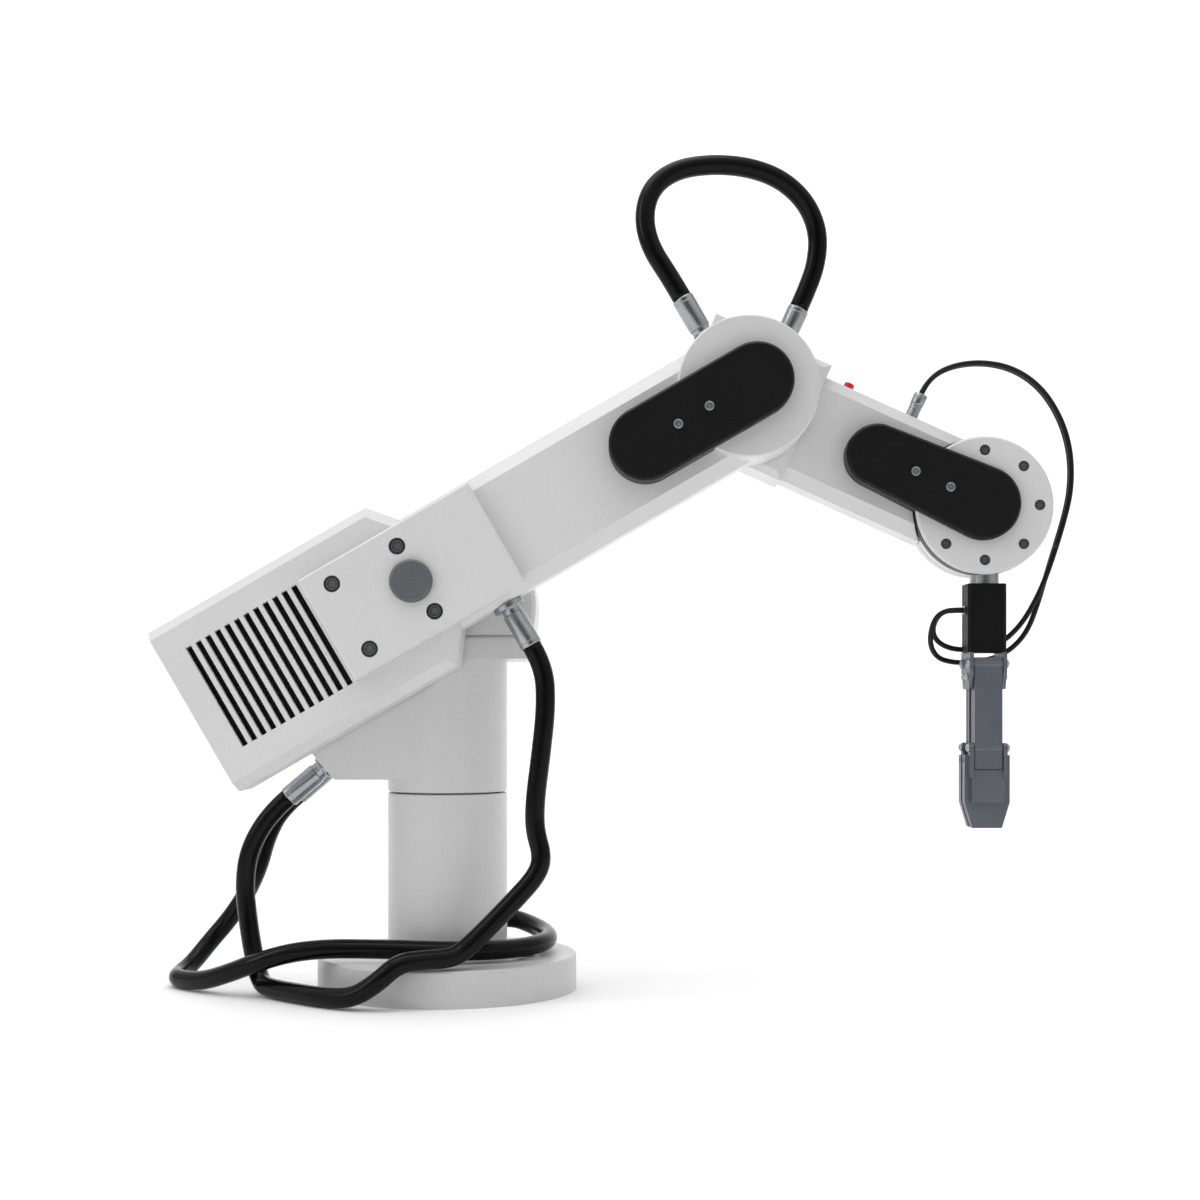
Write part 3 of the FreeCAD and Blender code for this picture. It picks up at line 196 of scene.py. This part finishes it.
def plastic(name, colour, rough, grain_scale=1800, depth=0.25, coat=0.0, edge=0.0004, specular=0.5):
    """Moulded plastic, or a rubber jacket, with a fine grain and handling marks in the gloss."""
    m = Nodes(name)
    dark, light = (tuple(c * level for c in colour) for level in (0.8, 1.15))
    shade = m.ramp(m.noise(30, 5.0), [(0.3, dark), (0.75, light)])
    m.link(shade, m.shader.inputs["Base Color"])
    m.link(m.range(m.noise(80, 5.0, 0.6), rough * 0.85, rough * 1.2), m.shader.inputs["Roughness"])
    m.set(Coat_Weight=coat, Coat_Roughness=0.15, Specular_IOR_Level=specular)
    m.bump(m.noise(grain_scale, 3.0, 0.6), depth, 0.00015, edge=edge)
    return m.material


MATERIALS = {
    "arm_casting": enamel("arm enamel", (0.71, 0.71, 0.71)),
    "base_casting": enamel("base enamel", (0.60, 0.60, 0.60)),
    "chrome_fitting": metal("chrome", (0.40, 0.41, 0.435), 0.24, (1, 1, 0.2), edge=0.0003, depth=0.012,
                            streak=0.95),
    "bright_ring": metal("bright ring", (0.80, 0.79, 0.77), 0.22, (1, 1, 4)),
    "black_cover": plastic("black cover", (0.0045, 0.0045, 0.005), 0.4, 2200, 0.18, specular=0.25),
    "dark_screw": metal("black oxide", (0.075, 0.078, 0.085), 0.38, (1, 4, 1)),
    "black_body": plastic("black body", (0.0035, 0.0035, 0.004), 0.5, 2400, 0.2, specular=0.15),
    "gripper_metal": metal("anodised gripper", (0.160, 0.168, 0.198), 0.42, (4, 1, 0.3), metallic=0.6,
                           edge=0.0006),
    "hose_rubber": plastic("hose rubber", (0.0018, 0.0020, 0.0026), 0.20, 900, 0.10, specular=0.16, edge=0.0),
    "cable_rubber": plastic("cable jacket", (0.004, 0.004, 0.0045), 0.38, 2600, 0.15, specular=0.3, edge=0.0),
    "red_button": plastic("red button", (0.72, 0.003, 0.003), 0.22, 2400, 0.05, coat=0.5),
    "motor_steel": metal("machined motor", (0.32, 0.33, 0.35), 0.35, (1, 6, 1)),
    "steel_part": metal("ground steel", (0.55, 0.56, 0.58), 0.28, (1, 6, 1)),
    "belt_rubber": plastic("belt rubber", (0.02, 0.02, 0.02), 0.6),
}
PIN_STEEL = metal("pin steel", (0.48, 0.49, 0.52), 0.28, (4, 1, 1), metallic=0.6)
PIVOT_CAP = metal("pivot cap", (0.16, 0.163, 0.175), 0.5, (1, 6, 1), metallic=0.5)


def dress(piece, slot):
    piece.data.materials.clear()
    piece.data.materials.append(MATERIALS[slot])


for sub in frame["record"]["subparts"]:
    dress(NODES[sub["node"]], sub["material_slot"])
NODES["shoulder_pivot_cap"].data.materials[0] = PIVOT_CAP
NODES["column_tube"].data.materials[0] = MATERIALS["arm_casting"]
NODES["gripper_pins"].data.materials[0] = PIN_STEEL


# ---------------------------------------------------------------- hoses and cables

HOSE = 0.0145
CABLE = 0.004
ROUND = 28


def add(name, mesh, slot):
    made = bpy.data.objects.new(name, mesh)
    bpy.context.scene.collection.objects.link(made)
    dress(made, slot)
    return made


def centreline(name, points):
    """The smooth line of a route: a NURBS spline with the route's points as its control points."""
    curve = bpy.data.curves.new(name + "_route", "CURVE")
    curve.dimensions = "3D"
    curve.resolution_u = 10
    spline = curve.splines.new("NURBS")
    spline.points.add(len(points) - 1)
    for control, point in zip(spline.points, points):
        control.co = (*point, 1.0)
    spline.order_u = 3
    spline.use_endpoint_u = True
    holder = bpy.data.objects.new(name + "_route", curve)
    bpy.context.scene.collection.objects.link(holder)
    bpy.context.view_layer.update()
    mesh = bpy.data.meshes.new_from_object(holder)
    line = [vertex.co.copy() for vertex in mesh.vertices]
    bpy.data.objects.remove(holder)
    bpy.data.meshes.remove(mesh)
    return line


def swept(line, radius):
    """A tube of even thickness along a line, closed at both ends."""
    mesh = bmesh.new()
    rings = []
    side = None
    for i, point in enumerate(line):
        ahead = (line[min(i + 1, len(line) - 1)] - line[max(i - 1, 0)]).normalized()
        if side is None:
            side = ahead.orthogonal().normalized()
        side = (side - ahead * side.dot(ahead)).normalized()
        up = ahead.cross(side)
        rings.append([mesh.verts.new(point + (side * math.cos(a) + up * math.sin(a)) * radius)
                      for a in (2 * math.pi * k / ROUND for k in range(ROUND))])
    for low, high in zip(rings, rings[1:]):
        for k in range(ROUND):
            face = mesh.faces.new((low[k], low[(k + 1) % ROUND], high[(k + 1) % ROUND], high[k]))
            face.smooth = True
    mesh.faces.new(list(reversed(rings[0])))
    mesh.faces.new(rings[-1])
    data = bpy.data.meshes.new("tube")
    bmesh.ops.recalc_face_normals(mesh, faces=mesh.faces)
    mesh.to_mesh(data)
    mesh.free()
    return data


def run(name, node, points, diameter, slot, bodies):
    """One hose or cable: its tube, made in place of its CAD node."""
    line = centreline(name, points)
    tube = add(name, swept(line, diameter / 2), slot)
    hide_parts(node)
    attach(tube, bodies[0])
    tube.parent = None
    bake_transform(tube)


ARM_HOSE = [
    (0.0684, -0.077, 0.2625), (0.0774, -0.077, 0.247), (0.079, -0.077, 0.219), (0.0755, -0.077, 0.185),
    (0.071, -0.077, 0.151), (0.0705, -0.077, 0.128), (0.0765, -0.078, 0.108), (0.072, -0.079, 0.094),
    (0.055, -0.081, 0.0755), (0.0365, -0.084, 0.0565), (0.0185, -0.089, 0.0395), (0.0085, -0.0945, 0.036),
    (-0.008, -0.1005, 0.0357), (-0.0255, -0.1065, 0.0345), (-0.041, -0.11, 0.0205), (-0.058, -0.1055, 0.0095),
    (-0.078, -0.0945, 0.0076), (-0.1, -0.077, 0.0076), (-0.129, -0.0505, 0.0076), (-0.1385, -0.036, 0.0095),
    (-0.146, -0.026, 0.03), (-0.151, -0.022, 0.056), (-0.154, -0.021, 0.084), (-0.1495, -0.022, 0.111),
    (-0.1333, -0.022, 0.1373), (-0.1197, -0.022, 0.1489)]
SUPPLY_HOSE = [
    (-0.1197, 0.018, 0.1489), (-0.1333, 0.018, 0.1373), (-0.146, 0.026, 0.115), (-0.154, 0.036, 0.091),
    (-0.166, 0.045, 0.068), (-0.181, 0.051, 0.047), (-0.196, 0.049, 0.0295), (-0.2065, 0.034, 0.014),
    (-0.2125, 0.014, 0.0078), (-0.21, -0.002, 0.0076), (-0.2005, -0.0125, 0.0076), (-0.183, -0.028, 0.0095),
    (-0.161, -0.0435, 0.0175), (-0.1375, -0.055, 0.0275), (-0.111, -0.0595, 0.0355),
    (-0.084, -0.061, 0.0385), (-0.056, -0.062, 0.0385), (-0.028, -0.063, 0.038), (0.0, -0.064, 0.037),
    (0.027, -0.059, 0.0365), (0.052, -0.045, 0.036), (0.071, -0.022, 0.0362), (0.079, 0.005, 0.037),
    (0.075, 0.032, 0.039), (0.062, 0.054, 0.0425), (0.048, 0.066, 0.046), (0.0321, 0.066, 0.046)]
ELBOW_HOSE = [
    (0.1785, -0.082, 0.5153), (0.1695, -0.082, 0.5308), (0.155, -0.081, 0.553), (0.15, -0.079, 0.576),
    (0.156, -0.075, 0.5985), (0.174, -0.071, 0.613), (0.2, -0.066, 0.6186), (0.228, -0.06, 0.6186),
    (0.2535, -0.054, 0.6116), (0.273, -0.048, 0.596), (0.2825, -0.044, 0.575), (0.2815, -0.042, 0.553),
    (0.275, -0.042, 0.5337), (0.2676, -0.042, 0.5173)]
CABLE_UPPER = [
    (0.3605, 0.4535), (0.365, 0.4635), (0.38, 0.474), (0.404, 0.478), (0.429, 0.4735), (0.45, 0.4595),
    (0.465, 0.437), (0.473, 0.411), (0.4735, 0.383), (0.468, 0.358), (0.462, 0.339)]
FIRST_LOWER = [
    (0.46195, -0.04215, 0.33884), (0.456, -0.04215, 0.32), (0.4475, -0.04, 0.299), (0.436, -0.038, 0.279),
    (0.42, -0.0365, 0.2645), (0.4, -0.036, 0.261), (0.385, -0.0365, 0.2615), (0.374, -0.0385, 0.266),
    (0.3685, -0.042, 0.274), (0.37, -0.046, 0.2835), (0.3755, -0.0493, 0.2893), (0.383, -0.05015, 0.29),
    (0.3894, -0.05015, 0.29)]
SECOND_LOWER = [
    (0.46195, -0.03785, 0.33884), (0.4563, -0.03785, 0.321), (0.45, -0.0365, 0.297), (0.441, -0.034, 0.272),
    (0.424, -0.032, 0.2565), (0.401, -0.032, 0.2515), (0.386, -0.034, 0.2515), (0.373, -0.04, 0.2545),
    (0.366, -0.047, 0.2635), (0.3655, -0.052, 0.275), (0.369, -0.0538, 0.285), (0.376, -0.0543, 0.2894),
    (0.384, -0.05445, 0.29), (0.3894, -0.05445, 0.29)]

run("arm_hose_tube", "arm_hose", ARM_HOSE, HOSE, "hose_rubber", ("turret", "upper_arm"))
run("supply_hose_tube", "supply_hose", SUPPLY_HOSE, HOSE, "hose_rubber", ("base", "turret"))
run("elbow_hose_tube", "elbow_hose", ELBOW_HOSE, HOSE, "hose_rubber", ("upper_arm", "forearm"))
for label, offset, lower in (("first", -0.04215, FIRST_LOWER), ("second", -0.03785, SECOND_LOWER)):
    upper = [(x, offset, z) for x, z in CABLE_UPPER]
    run(label + "_cable_top", label + "_cable_upper", upper, CABLE, "cable_rubber",
        ("forearm", "wrist"))
    run(label + "_cable_end", label + "_cable_lower", lower, CABLE, "cable_rubber", ("wrist", "hand"))


# ---------------------------------------------------------------- turned pieces

def middle(node):
    low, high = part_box(node)
    return (Vector(low) + Vector(high)) / 2


SHOULDER = middle("shoulder_pivot_cap")
ELBOW = middle("elbow_shaft")
WRIST = middle("wrist_hub")
FACING = Matrix.Rotation(math.pi / 2, 4, "X")
DOWN = Matrix.Rotation(math.pi, 4, "Y")


def along(start, end):
    """The frame of an arm section: X from one pivot to the next, Z above the section, no depth."""
    climb = math.atan2(end.z - start.z, end.x - start.x)
    return Matrix.Translation((start.x, 0, start.z)) @ Matrix.Rotation(-climb, 4, "Y")


ARM = along(SHOULDER, ELBOW)
FORE = along(ELBOW, WRIST)


def at(frame_matrix, x, y, z, turn=Matrix.Identity(4)):
    """A place in a section's frame, given in millimetres."""
    return frame_matrix @ Matrix.Translation((x / 1000, y / 1000, z / 1000)) @ turn


def lathe(mesh, place, profile, sides=64):
    """Turn a profile about the place's Z axis. Each step is radius and height in mm, the material of the band
    that ends there, and how the ring is shaped: "" round or "hex" six-sided."""
    rings = []
    for radius, height, _, shape in profile:
        ring = []
        for k in range(sides):
            angle = 2 * math.pi * k / sides
            reach = radius
            if shape == "hex":
                reach = radius * math.cos(math.pi / 6) / math.cos(angle % (math.pi / 3) - math.pi / 6)
            ring.append(mesh.verts.new(place @ Vector((reach * math.cos(angle) / 1000,
                                                       reach * math.sin(angle) / 1000, height / 1000))))
        rings.append(ring)
    for low, high, step in zip(rings, rings[1:], profile[1:]):
        for k in range(sides):
            face = mesh.faces.new((low[k], low[(k + 1) % sides], high[(k + 1) % sides], high[k]))
            face.material_index = step[2]
    mesh.faces.new(list(reversed(rings[0]))).material_index = profile[0][2]
    mesh.faces.new(rings[-1]).material_index = profile[-1][2]


def turned(name, body, slot, parts, finishes, *nodes):
    """One piece made of several turned parts, in place of its CAD nodes."""
    mesh = bmesh.new()
    for place, profile in parts:
        lathe(mesh, place, [tuple(step) + (0, "")[len(step) - 2:] for step in profile])
    bmesh.ops.recalc_face_normals(mesh, faces=mesh.faces)
    for face in mesh.faces:
        face.smooth = True
    data = bpy.data.meshes.new(name)
    mesh.to_mesh(data)
    mesh.free()
    data.set_sharp_from_angle(angle=math.radians(24))
    piece = bpy.data.objects.new(name, data)
    bpy.context.scene.collection.objects.link(piece)
    for finish in finishes:
        data.materials.append(finish)
    if nodes:
        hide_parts(*nodes)
    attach(piece, body)


def hose_fitting(length, flange):
    """A crimped hose end: foot flange, narrow neck and a long sleeve with a fine groove below its lip."""
    low = length * 0.24
    return [(flange - 0.7, 0), (flange, 0.6), (flange, 3.8), (flange - 0.6, 4.4),
            (7.6, 4.4), (7.1, 5.2), (7.1, low), (7.8, low + 0.4), (8.05, low + 1.2),
            (8.2, length - 4.0), (8.08, length - 3.8), (8.08, length - 3.4), (8.25, length - 3.2),
            (8.25, length - 0.6), (7.9, length), (7.3, length)]


def cap_screw(radius, rim, tone, socket):
    """A socket screw's head: a rim ring, a groove, a flat face and a shallow six-sided socket.
    rim, tone and socket are material places, and the socket's place takes a near-black material, painted shade
    in the recess. Height 0 is the face, and the head lies below it."""
    return [(radius - 0.2, -1.4, rim), (radius, -1.2, rim), (radius, -0.3, rim), (radius * 0.94, 0, rim),
            (radius * 0.80, 0, rim), (radius * 0.76, -0.2, rim), (radius * 0.74, -0.1, tone),
            (radius * 0.58, -0.02, tone), (radius * 0.53, -0.25, socket),
            (radius * 0.50, -0.45, socket, "hex"),
            (radius * 0.44, -0.55, tone, "hex")]


CHROME = MATERIALS["chrome_fitting"]
BLACK = MATERIALS["black_cover"]
# A near-black for the rims of the dark screws, also used as painted shade in every screw's socket.
DARK_RIM_AND_SOCKET_SHADE = metal("screw rim", (0.020, 0.020, 0.023), 0.45, metallic=0.4)
SCREW_FACE = metal("screw face", (0.105, 0.110, 0.120), 0.48, (1, 6, 1), metallic=0.5)
STEEL_FACE = metal("bright screw face", (0.24, 0.26, 0.30), 0.35, (1, 6, 1), metallic=0.6)
BRIGHT_RIM = metal("bright screw rim", (0.60, 0.61, 0.63), 0.28)

# The foot of the turret's fittings in X and Z, and the way that they point out of its slanted face.
TURRET_FOOT = (-90.68, 173.66)
TURRET_AXIS = DOWN @ Matrix.Rotation(math.atan2(0.761, 0.6488), 4, "Y")
turned("turret_fittings", "turret", "chrome_fitting",
       [(at(Matrix.Identity(4), TURRET_FOOT[0], y, TURRET_FOOT[1], TURRET_AXIS), hose_fitting(38, 9.2))
        for y in (-22, 18)], [CHROME], "turret_hose_fittings")
turned("arm_fittings", "upper_arm", "chrome_fitting",
       [(at(ARM, 51, -77, -45.5, DOWN), hose_fitting(35.6, 11.9)),
        (at(ARM, 273, -82, 48.2), hose_fitting(34, 7.4))], [CHROME], "upper_arm_hose_fittings")
turned("forearm_fitting", "forearm", "chrome_fitting",
       [(at(FORE, 10, -42, 49.4), hose_fitting(32, 9.2))], [CHROME], "forearm_hose_fitting")

BAND = 0.9
bands = []
for start in (1.8, 6.6):
    for ridge in range(4):
        low = start + ridge * BAND
        bands += [(4.7, low), (4.85, low + 0.15), (4.85, low + 0.65), (4.7, low + 0.8)]
turned("cable_gland", "forearm", "chrome_fitting",
       [(at(FORE, 121, -40, 42), [(6.2, 0), (6.2, 0.9), (5.8, 1.2), (4.75, 1.2)] + bands +
         [(5.2, 10.8), (5.3, 11.2), (5.3, 18.6), (5.0, 19.3), (4.5, 19.3), (4.4, 19.0, 1)])],
       [CHROME, BLACK], "cable_socket")

PLATE_CORNERS = [(-1, -1), (-1, 1), (1, -1), (1, 1)]
PLATE_SHIFT = -23.1
PLATE_HALF = 26.85
ARM_LENGTH = 279
FORE_LENGTH = 195
BOLT_CIRCLE = 40.6
DISC_AXIS = Matrix.Translation((WRIST.x, 0, WRIST.z))
# The third material of each list darkens the screws' sockets: painted shade in the shallow recess.
FACE = [DARK_RIM_AND_SOCKET_SHADE, SCREW_FACE, DARK_RIM_AND_SOCKET_SHADE]
SMALL = [BRIGHT_RIM, STEEL_FACE, DARK_RIM_AND_SOCKET_SHADE]
turned("plate_screws", "upper_arm", "dark_screw",
       [(at(ARM, PLATE_SHIFT + i * PLATE_HALF, -107, j * PLATE_HALF, FACING), cap_screw(5.7, 0, 1, 2))
        for i, j in PLATE_CORNERS], FACE, "shoulder_plate_screws")
turned("elbow_cover_screws", "upper_arm", "dark_screw",
       [(at(ARM, ARM_LENGTH - u, -120.6, 0, FACING), cap_screw(3.4, 0, 1, 2)) for u in (33.8, 59.2)], SMALL,
       "upper_arm_cover_screws")
turned("wrist_cover_screws", "forearm", "dark_screw",
       [(at(FORE, FORE_LENGTH - u, -75.2, 0, FACING), cap_screw(3.4, 0, 1, 2)) for u in (29.6, 57.6)], SMALL,
       "forearm_cover_screws")
turned("disc_screws", "wrist", "dark_screw",
       [(at(DISC_AXIS, BOLT_CIRCLE * math.cos(math.pi / 4 * k), -66.6,
            BOLT_CIRCLE * math.sin(math.pi / 4 * k), FACING), cap_screw(3.8, 0, 1, 2)) for k in range(8)], FACE,
       "wrist_disc_screws")

# A black seal ring, as wide as the gap between the wrist's front and rear discs and flush with their rims. It
# is a real seal, and its black is also painted shade in that gap.
SEAL_AND_SHADE_FRONT = -61.9
SEAL_AND_SHADE_WIDTH = 11.4
turned("wrist_seal", "wrist", "black_cover",
       [(at(DISC_AXIS, 0, SEAL_AND_SHADE_FRONT + SEAL_AND_SHADE_WIDTH, 0, FACING),
         [(50.6, 0), (51.3, 0.5), (51.3, SEAL_AND_SHADE_WIDTH - 0.5), (50.6, SEAL_AND_SHADE_WIDTH)])], [BLACK], "wrist_seal_ring")

# Domed heads on the ends of the gripper's pins, whose places are told from the roll axis.
HAND = Matrix.Translation((0.4052, -0.05225, 0))
DOME = [(2.9, 0), (3.1, 0.2), (3.1, 0.8), (2.7, 1.5), (1.9, 2.0), (0.9, 2.3)]


def pin_heads(name, body, reach, spots):
    """Heads at both sides of the gripper, each spot a distance from its middle and a height."""
    parts = [(at(HAND, side * reach, y, z, Matrix.Rotation(side * math.pi / 2, 4, "Y")), DOME)
             for y, z in spots for side in (-1, 1)]
    turned(name, body, "steel_part", parts, [PIN_STEEL])


pin_heads("bracket_pin_heads", "hand", 13.6, [(-12.3, 249.5), (12.3, 249.5), (-6.0, 240.1), (6.0, 240.1)])
pin_heads("front_pin_heads", "front_outer", 14.0, [(-12.3, 187.4)])
pin_heads("rear_pin_heads", "rear_outer", 14.0, [(12.3, 187.4)])


def ribbed_panel(name, body, slot, frame_matrix, ends, half, front, back, rib, pitch):
    """A closed panel with upright ribs on its front; ends is where it starts and stops along the section."""
    mesh = bmesh.new()
    count = round((ends[1] - ends[0]) / pitch) * 2
    columns = []
    for k in range(count + 1):
        u = ends[0] + (ends[1] - ends[0]) * k / count
        face = front + (rib if k % 2 else 0)
        columns.append([mesh.verts.new(at(frame_matrix, u, y, v).translation)
                        for y, v in ((face, -half), (face, half), (back, half), (back, -half))])
    for near, far in zip(columns, columns[1:]):
        for k in range(4):
            mesh.faces.new((near[k], near[(k + 1) % 4], far[(k + 1) % 4], far[k]))
    mesh.faces.new(list(reversed(columns[0])))
    mesh.faces.new(columns[-1])
    bmesh.ops.recalc_face_normals(mesh, faces=mesh.faces)
    data = bpy.data.meshes.new(name)
    mesh.to_mesh(data)
    mesh.free()
    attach(add(name, data, slot), body)


# A thin black sheet just behind the grille's slots: painted shade seen through them.
ribbed_panel("grille_shade_backing", "upper_arm", "black_cover", ARM, (-172, -64), 44, -88.9, -88.3, 0.3, 7.95)


# ---------------------------------------------------------------- stage and light

def quad_mesh(name, rows):
    """A surface through rows of points."""
    mesh = bmesh.new()
    grid = [[mesh.verts.new(p) for p in row] for row in rows]
    for low, high in zip(grid, grid[1:]):
        for a, b, c, d in zip(low, low[1:], high[1:], high):
            mesh.faces.new((a, b, c, d)).smooth = True
    data = bpy.data.meshes.new(name)
    mesh.to_mesh(data)
    mesh.free()
    return data


def backdrop():
    """A pale floor that curves up into a wall behind the arm."""
    sweep = 1.2
    wall = 2.6
    profile = [(-3.0, 0.0), (wall - sweep, 0.0)]
    profile += [(wall - sweep + sweep * math.sin(a), sweep - sweep * math.cos(a))
                for a in (math.pi / 2 * k / 16 for k in range(1, 17))]
    profile.append((wall, 4.5))
    floor = bpy.data.objects.new("floor", quad_mesh("floor", [[(-5, y, z), (5, y, z)] for y, z in profile]))
    bpy.context.scene.collection.objects.link(floor)
    m = Nodes("pale floor")
    m.set(Base_Color=(0.98, 0.98, 0.98, 1), Roughness=0.9)
    floor.data.materials.append(m.material)
    floor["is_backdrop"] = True


def soft_light(name, place, target, size, power):
    light = bpy.data.lights.new(name, "AREA")
    light.shape = "RECTANGLE"
    light.size, light.size_y = size
    light.energy = power
    lamp = bpy.data.objects.new(name, light)
    lamp.location = place
    lamp.rotation_euler = (Vector(target) - Vector(place)).to_track_quat("-Z", "Y").to_euler()
    bpy.context.scene.collection.objects.link(lamp)


def studio():
    """Soft light from all round by direction: bright above, behind and at the sides, dim in front."""
    world = bpy.data.worlds.new("world")
    world.use_nodes = True
    tree = world.node_tree
    sky = tree.nodes["Background"]
    place = tree.nodes.new("ShaderNodeTexCoord")
    axes = tree.nodes.new("ShaderNodeSeparateXYZ")
    tree.links.new(place.outputs["Generated"], axes.inputs[0])
    levels = []
    for axis, stops in (("Z", [(0.0, 0.80), (0.35, 0.95), (1.0, 1.60)]),
                        ("Y", [(-1.0, 0.12), (-0.93, 0.20), (-0.80, 0.66), (-0.2, 0.74), (0.3, 0.64)])):
        place_on = tree.nodes.new("ShaderNodeMapRange")
        low_end = stops[0][0]
        place_on.inputs["From Min"].default_value = low_end
        place_on.inputs["From Max"].default_value = 1.0
        tree.links.new(axes.outputs[axis], place_on.inputs["Value"])
        ramp = tree.nodes.new("ShaderNodeValToRGB")
        elements = ramp.color_ramp.elements
        while len(elements) < len(stops):
            elements.new(0.5)
        for element, (position, level) in zip(elements, stops):
            element.position = (position - low_end) / (1.0 - low_end)
            element.color = (level / 2, level / 2, level / 2, 1.0)
        tree.links.new(place_on.outputs["Result"], ramp.inputs["Fac"])
        levels.append(ramp.outputs["Color"])
    product = tree.nodes.new("ShaderNodeMix")
    product.data_type = "RGBA"
    product.blend_type = "MULTIPLY"
    product.inputs[0].default_value = 1.0
    tree.links.new(levels[0], product.inputs[6])
    tree.links.new(levels[1], product.inputs[7])
    tree.links.new(product.outputs[2], sky.inputs["Color"])
    sky.inputs["Strength"].default_value = 4.0
    bpy.context.scene.world = world


backdrop()
studio()
soft_light("top light", (-0.2, -0.2, 2.2), (0.1, 0.0, 0.2), (1.6, 1.6), 13)
soft_light("left light", (-1.9, -0.9, 1.5), (0.1, 0.0, 0.3), (0.35, 1.6), 9)
soft_light("wall light", (0.1, 1.2, 2.2), (0.1, 2.6, 1.7), (3.0, 1.0), 30)
bpy.context.scene.view_settings.view_transform = "Standard"


# ---------------------------------------------------------------- size

low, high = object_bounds()
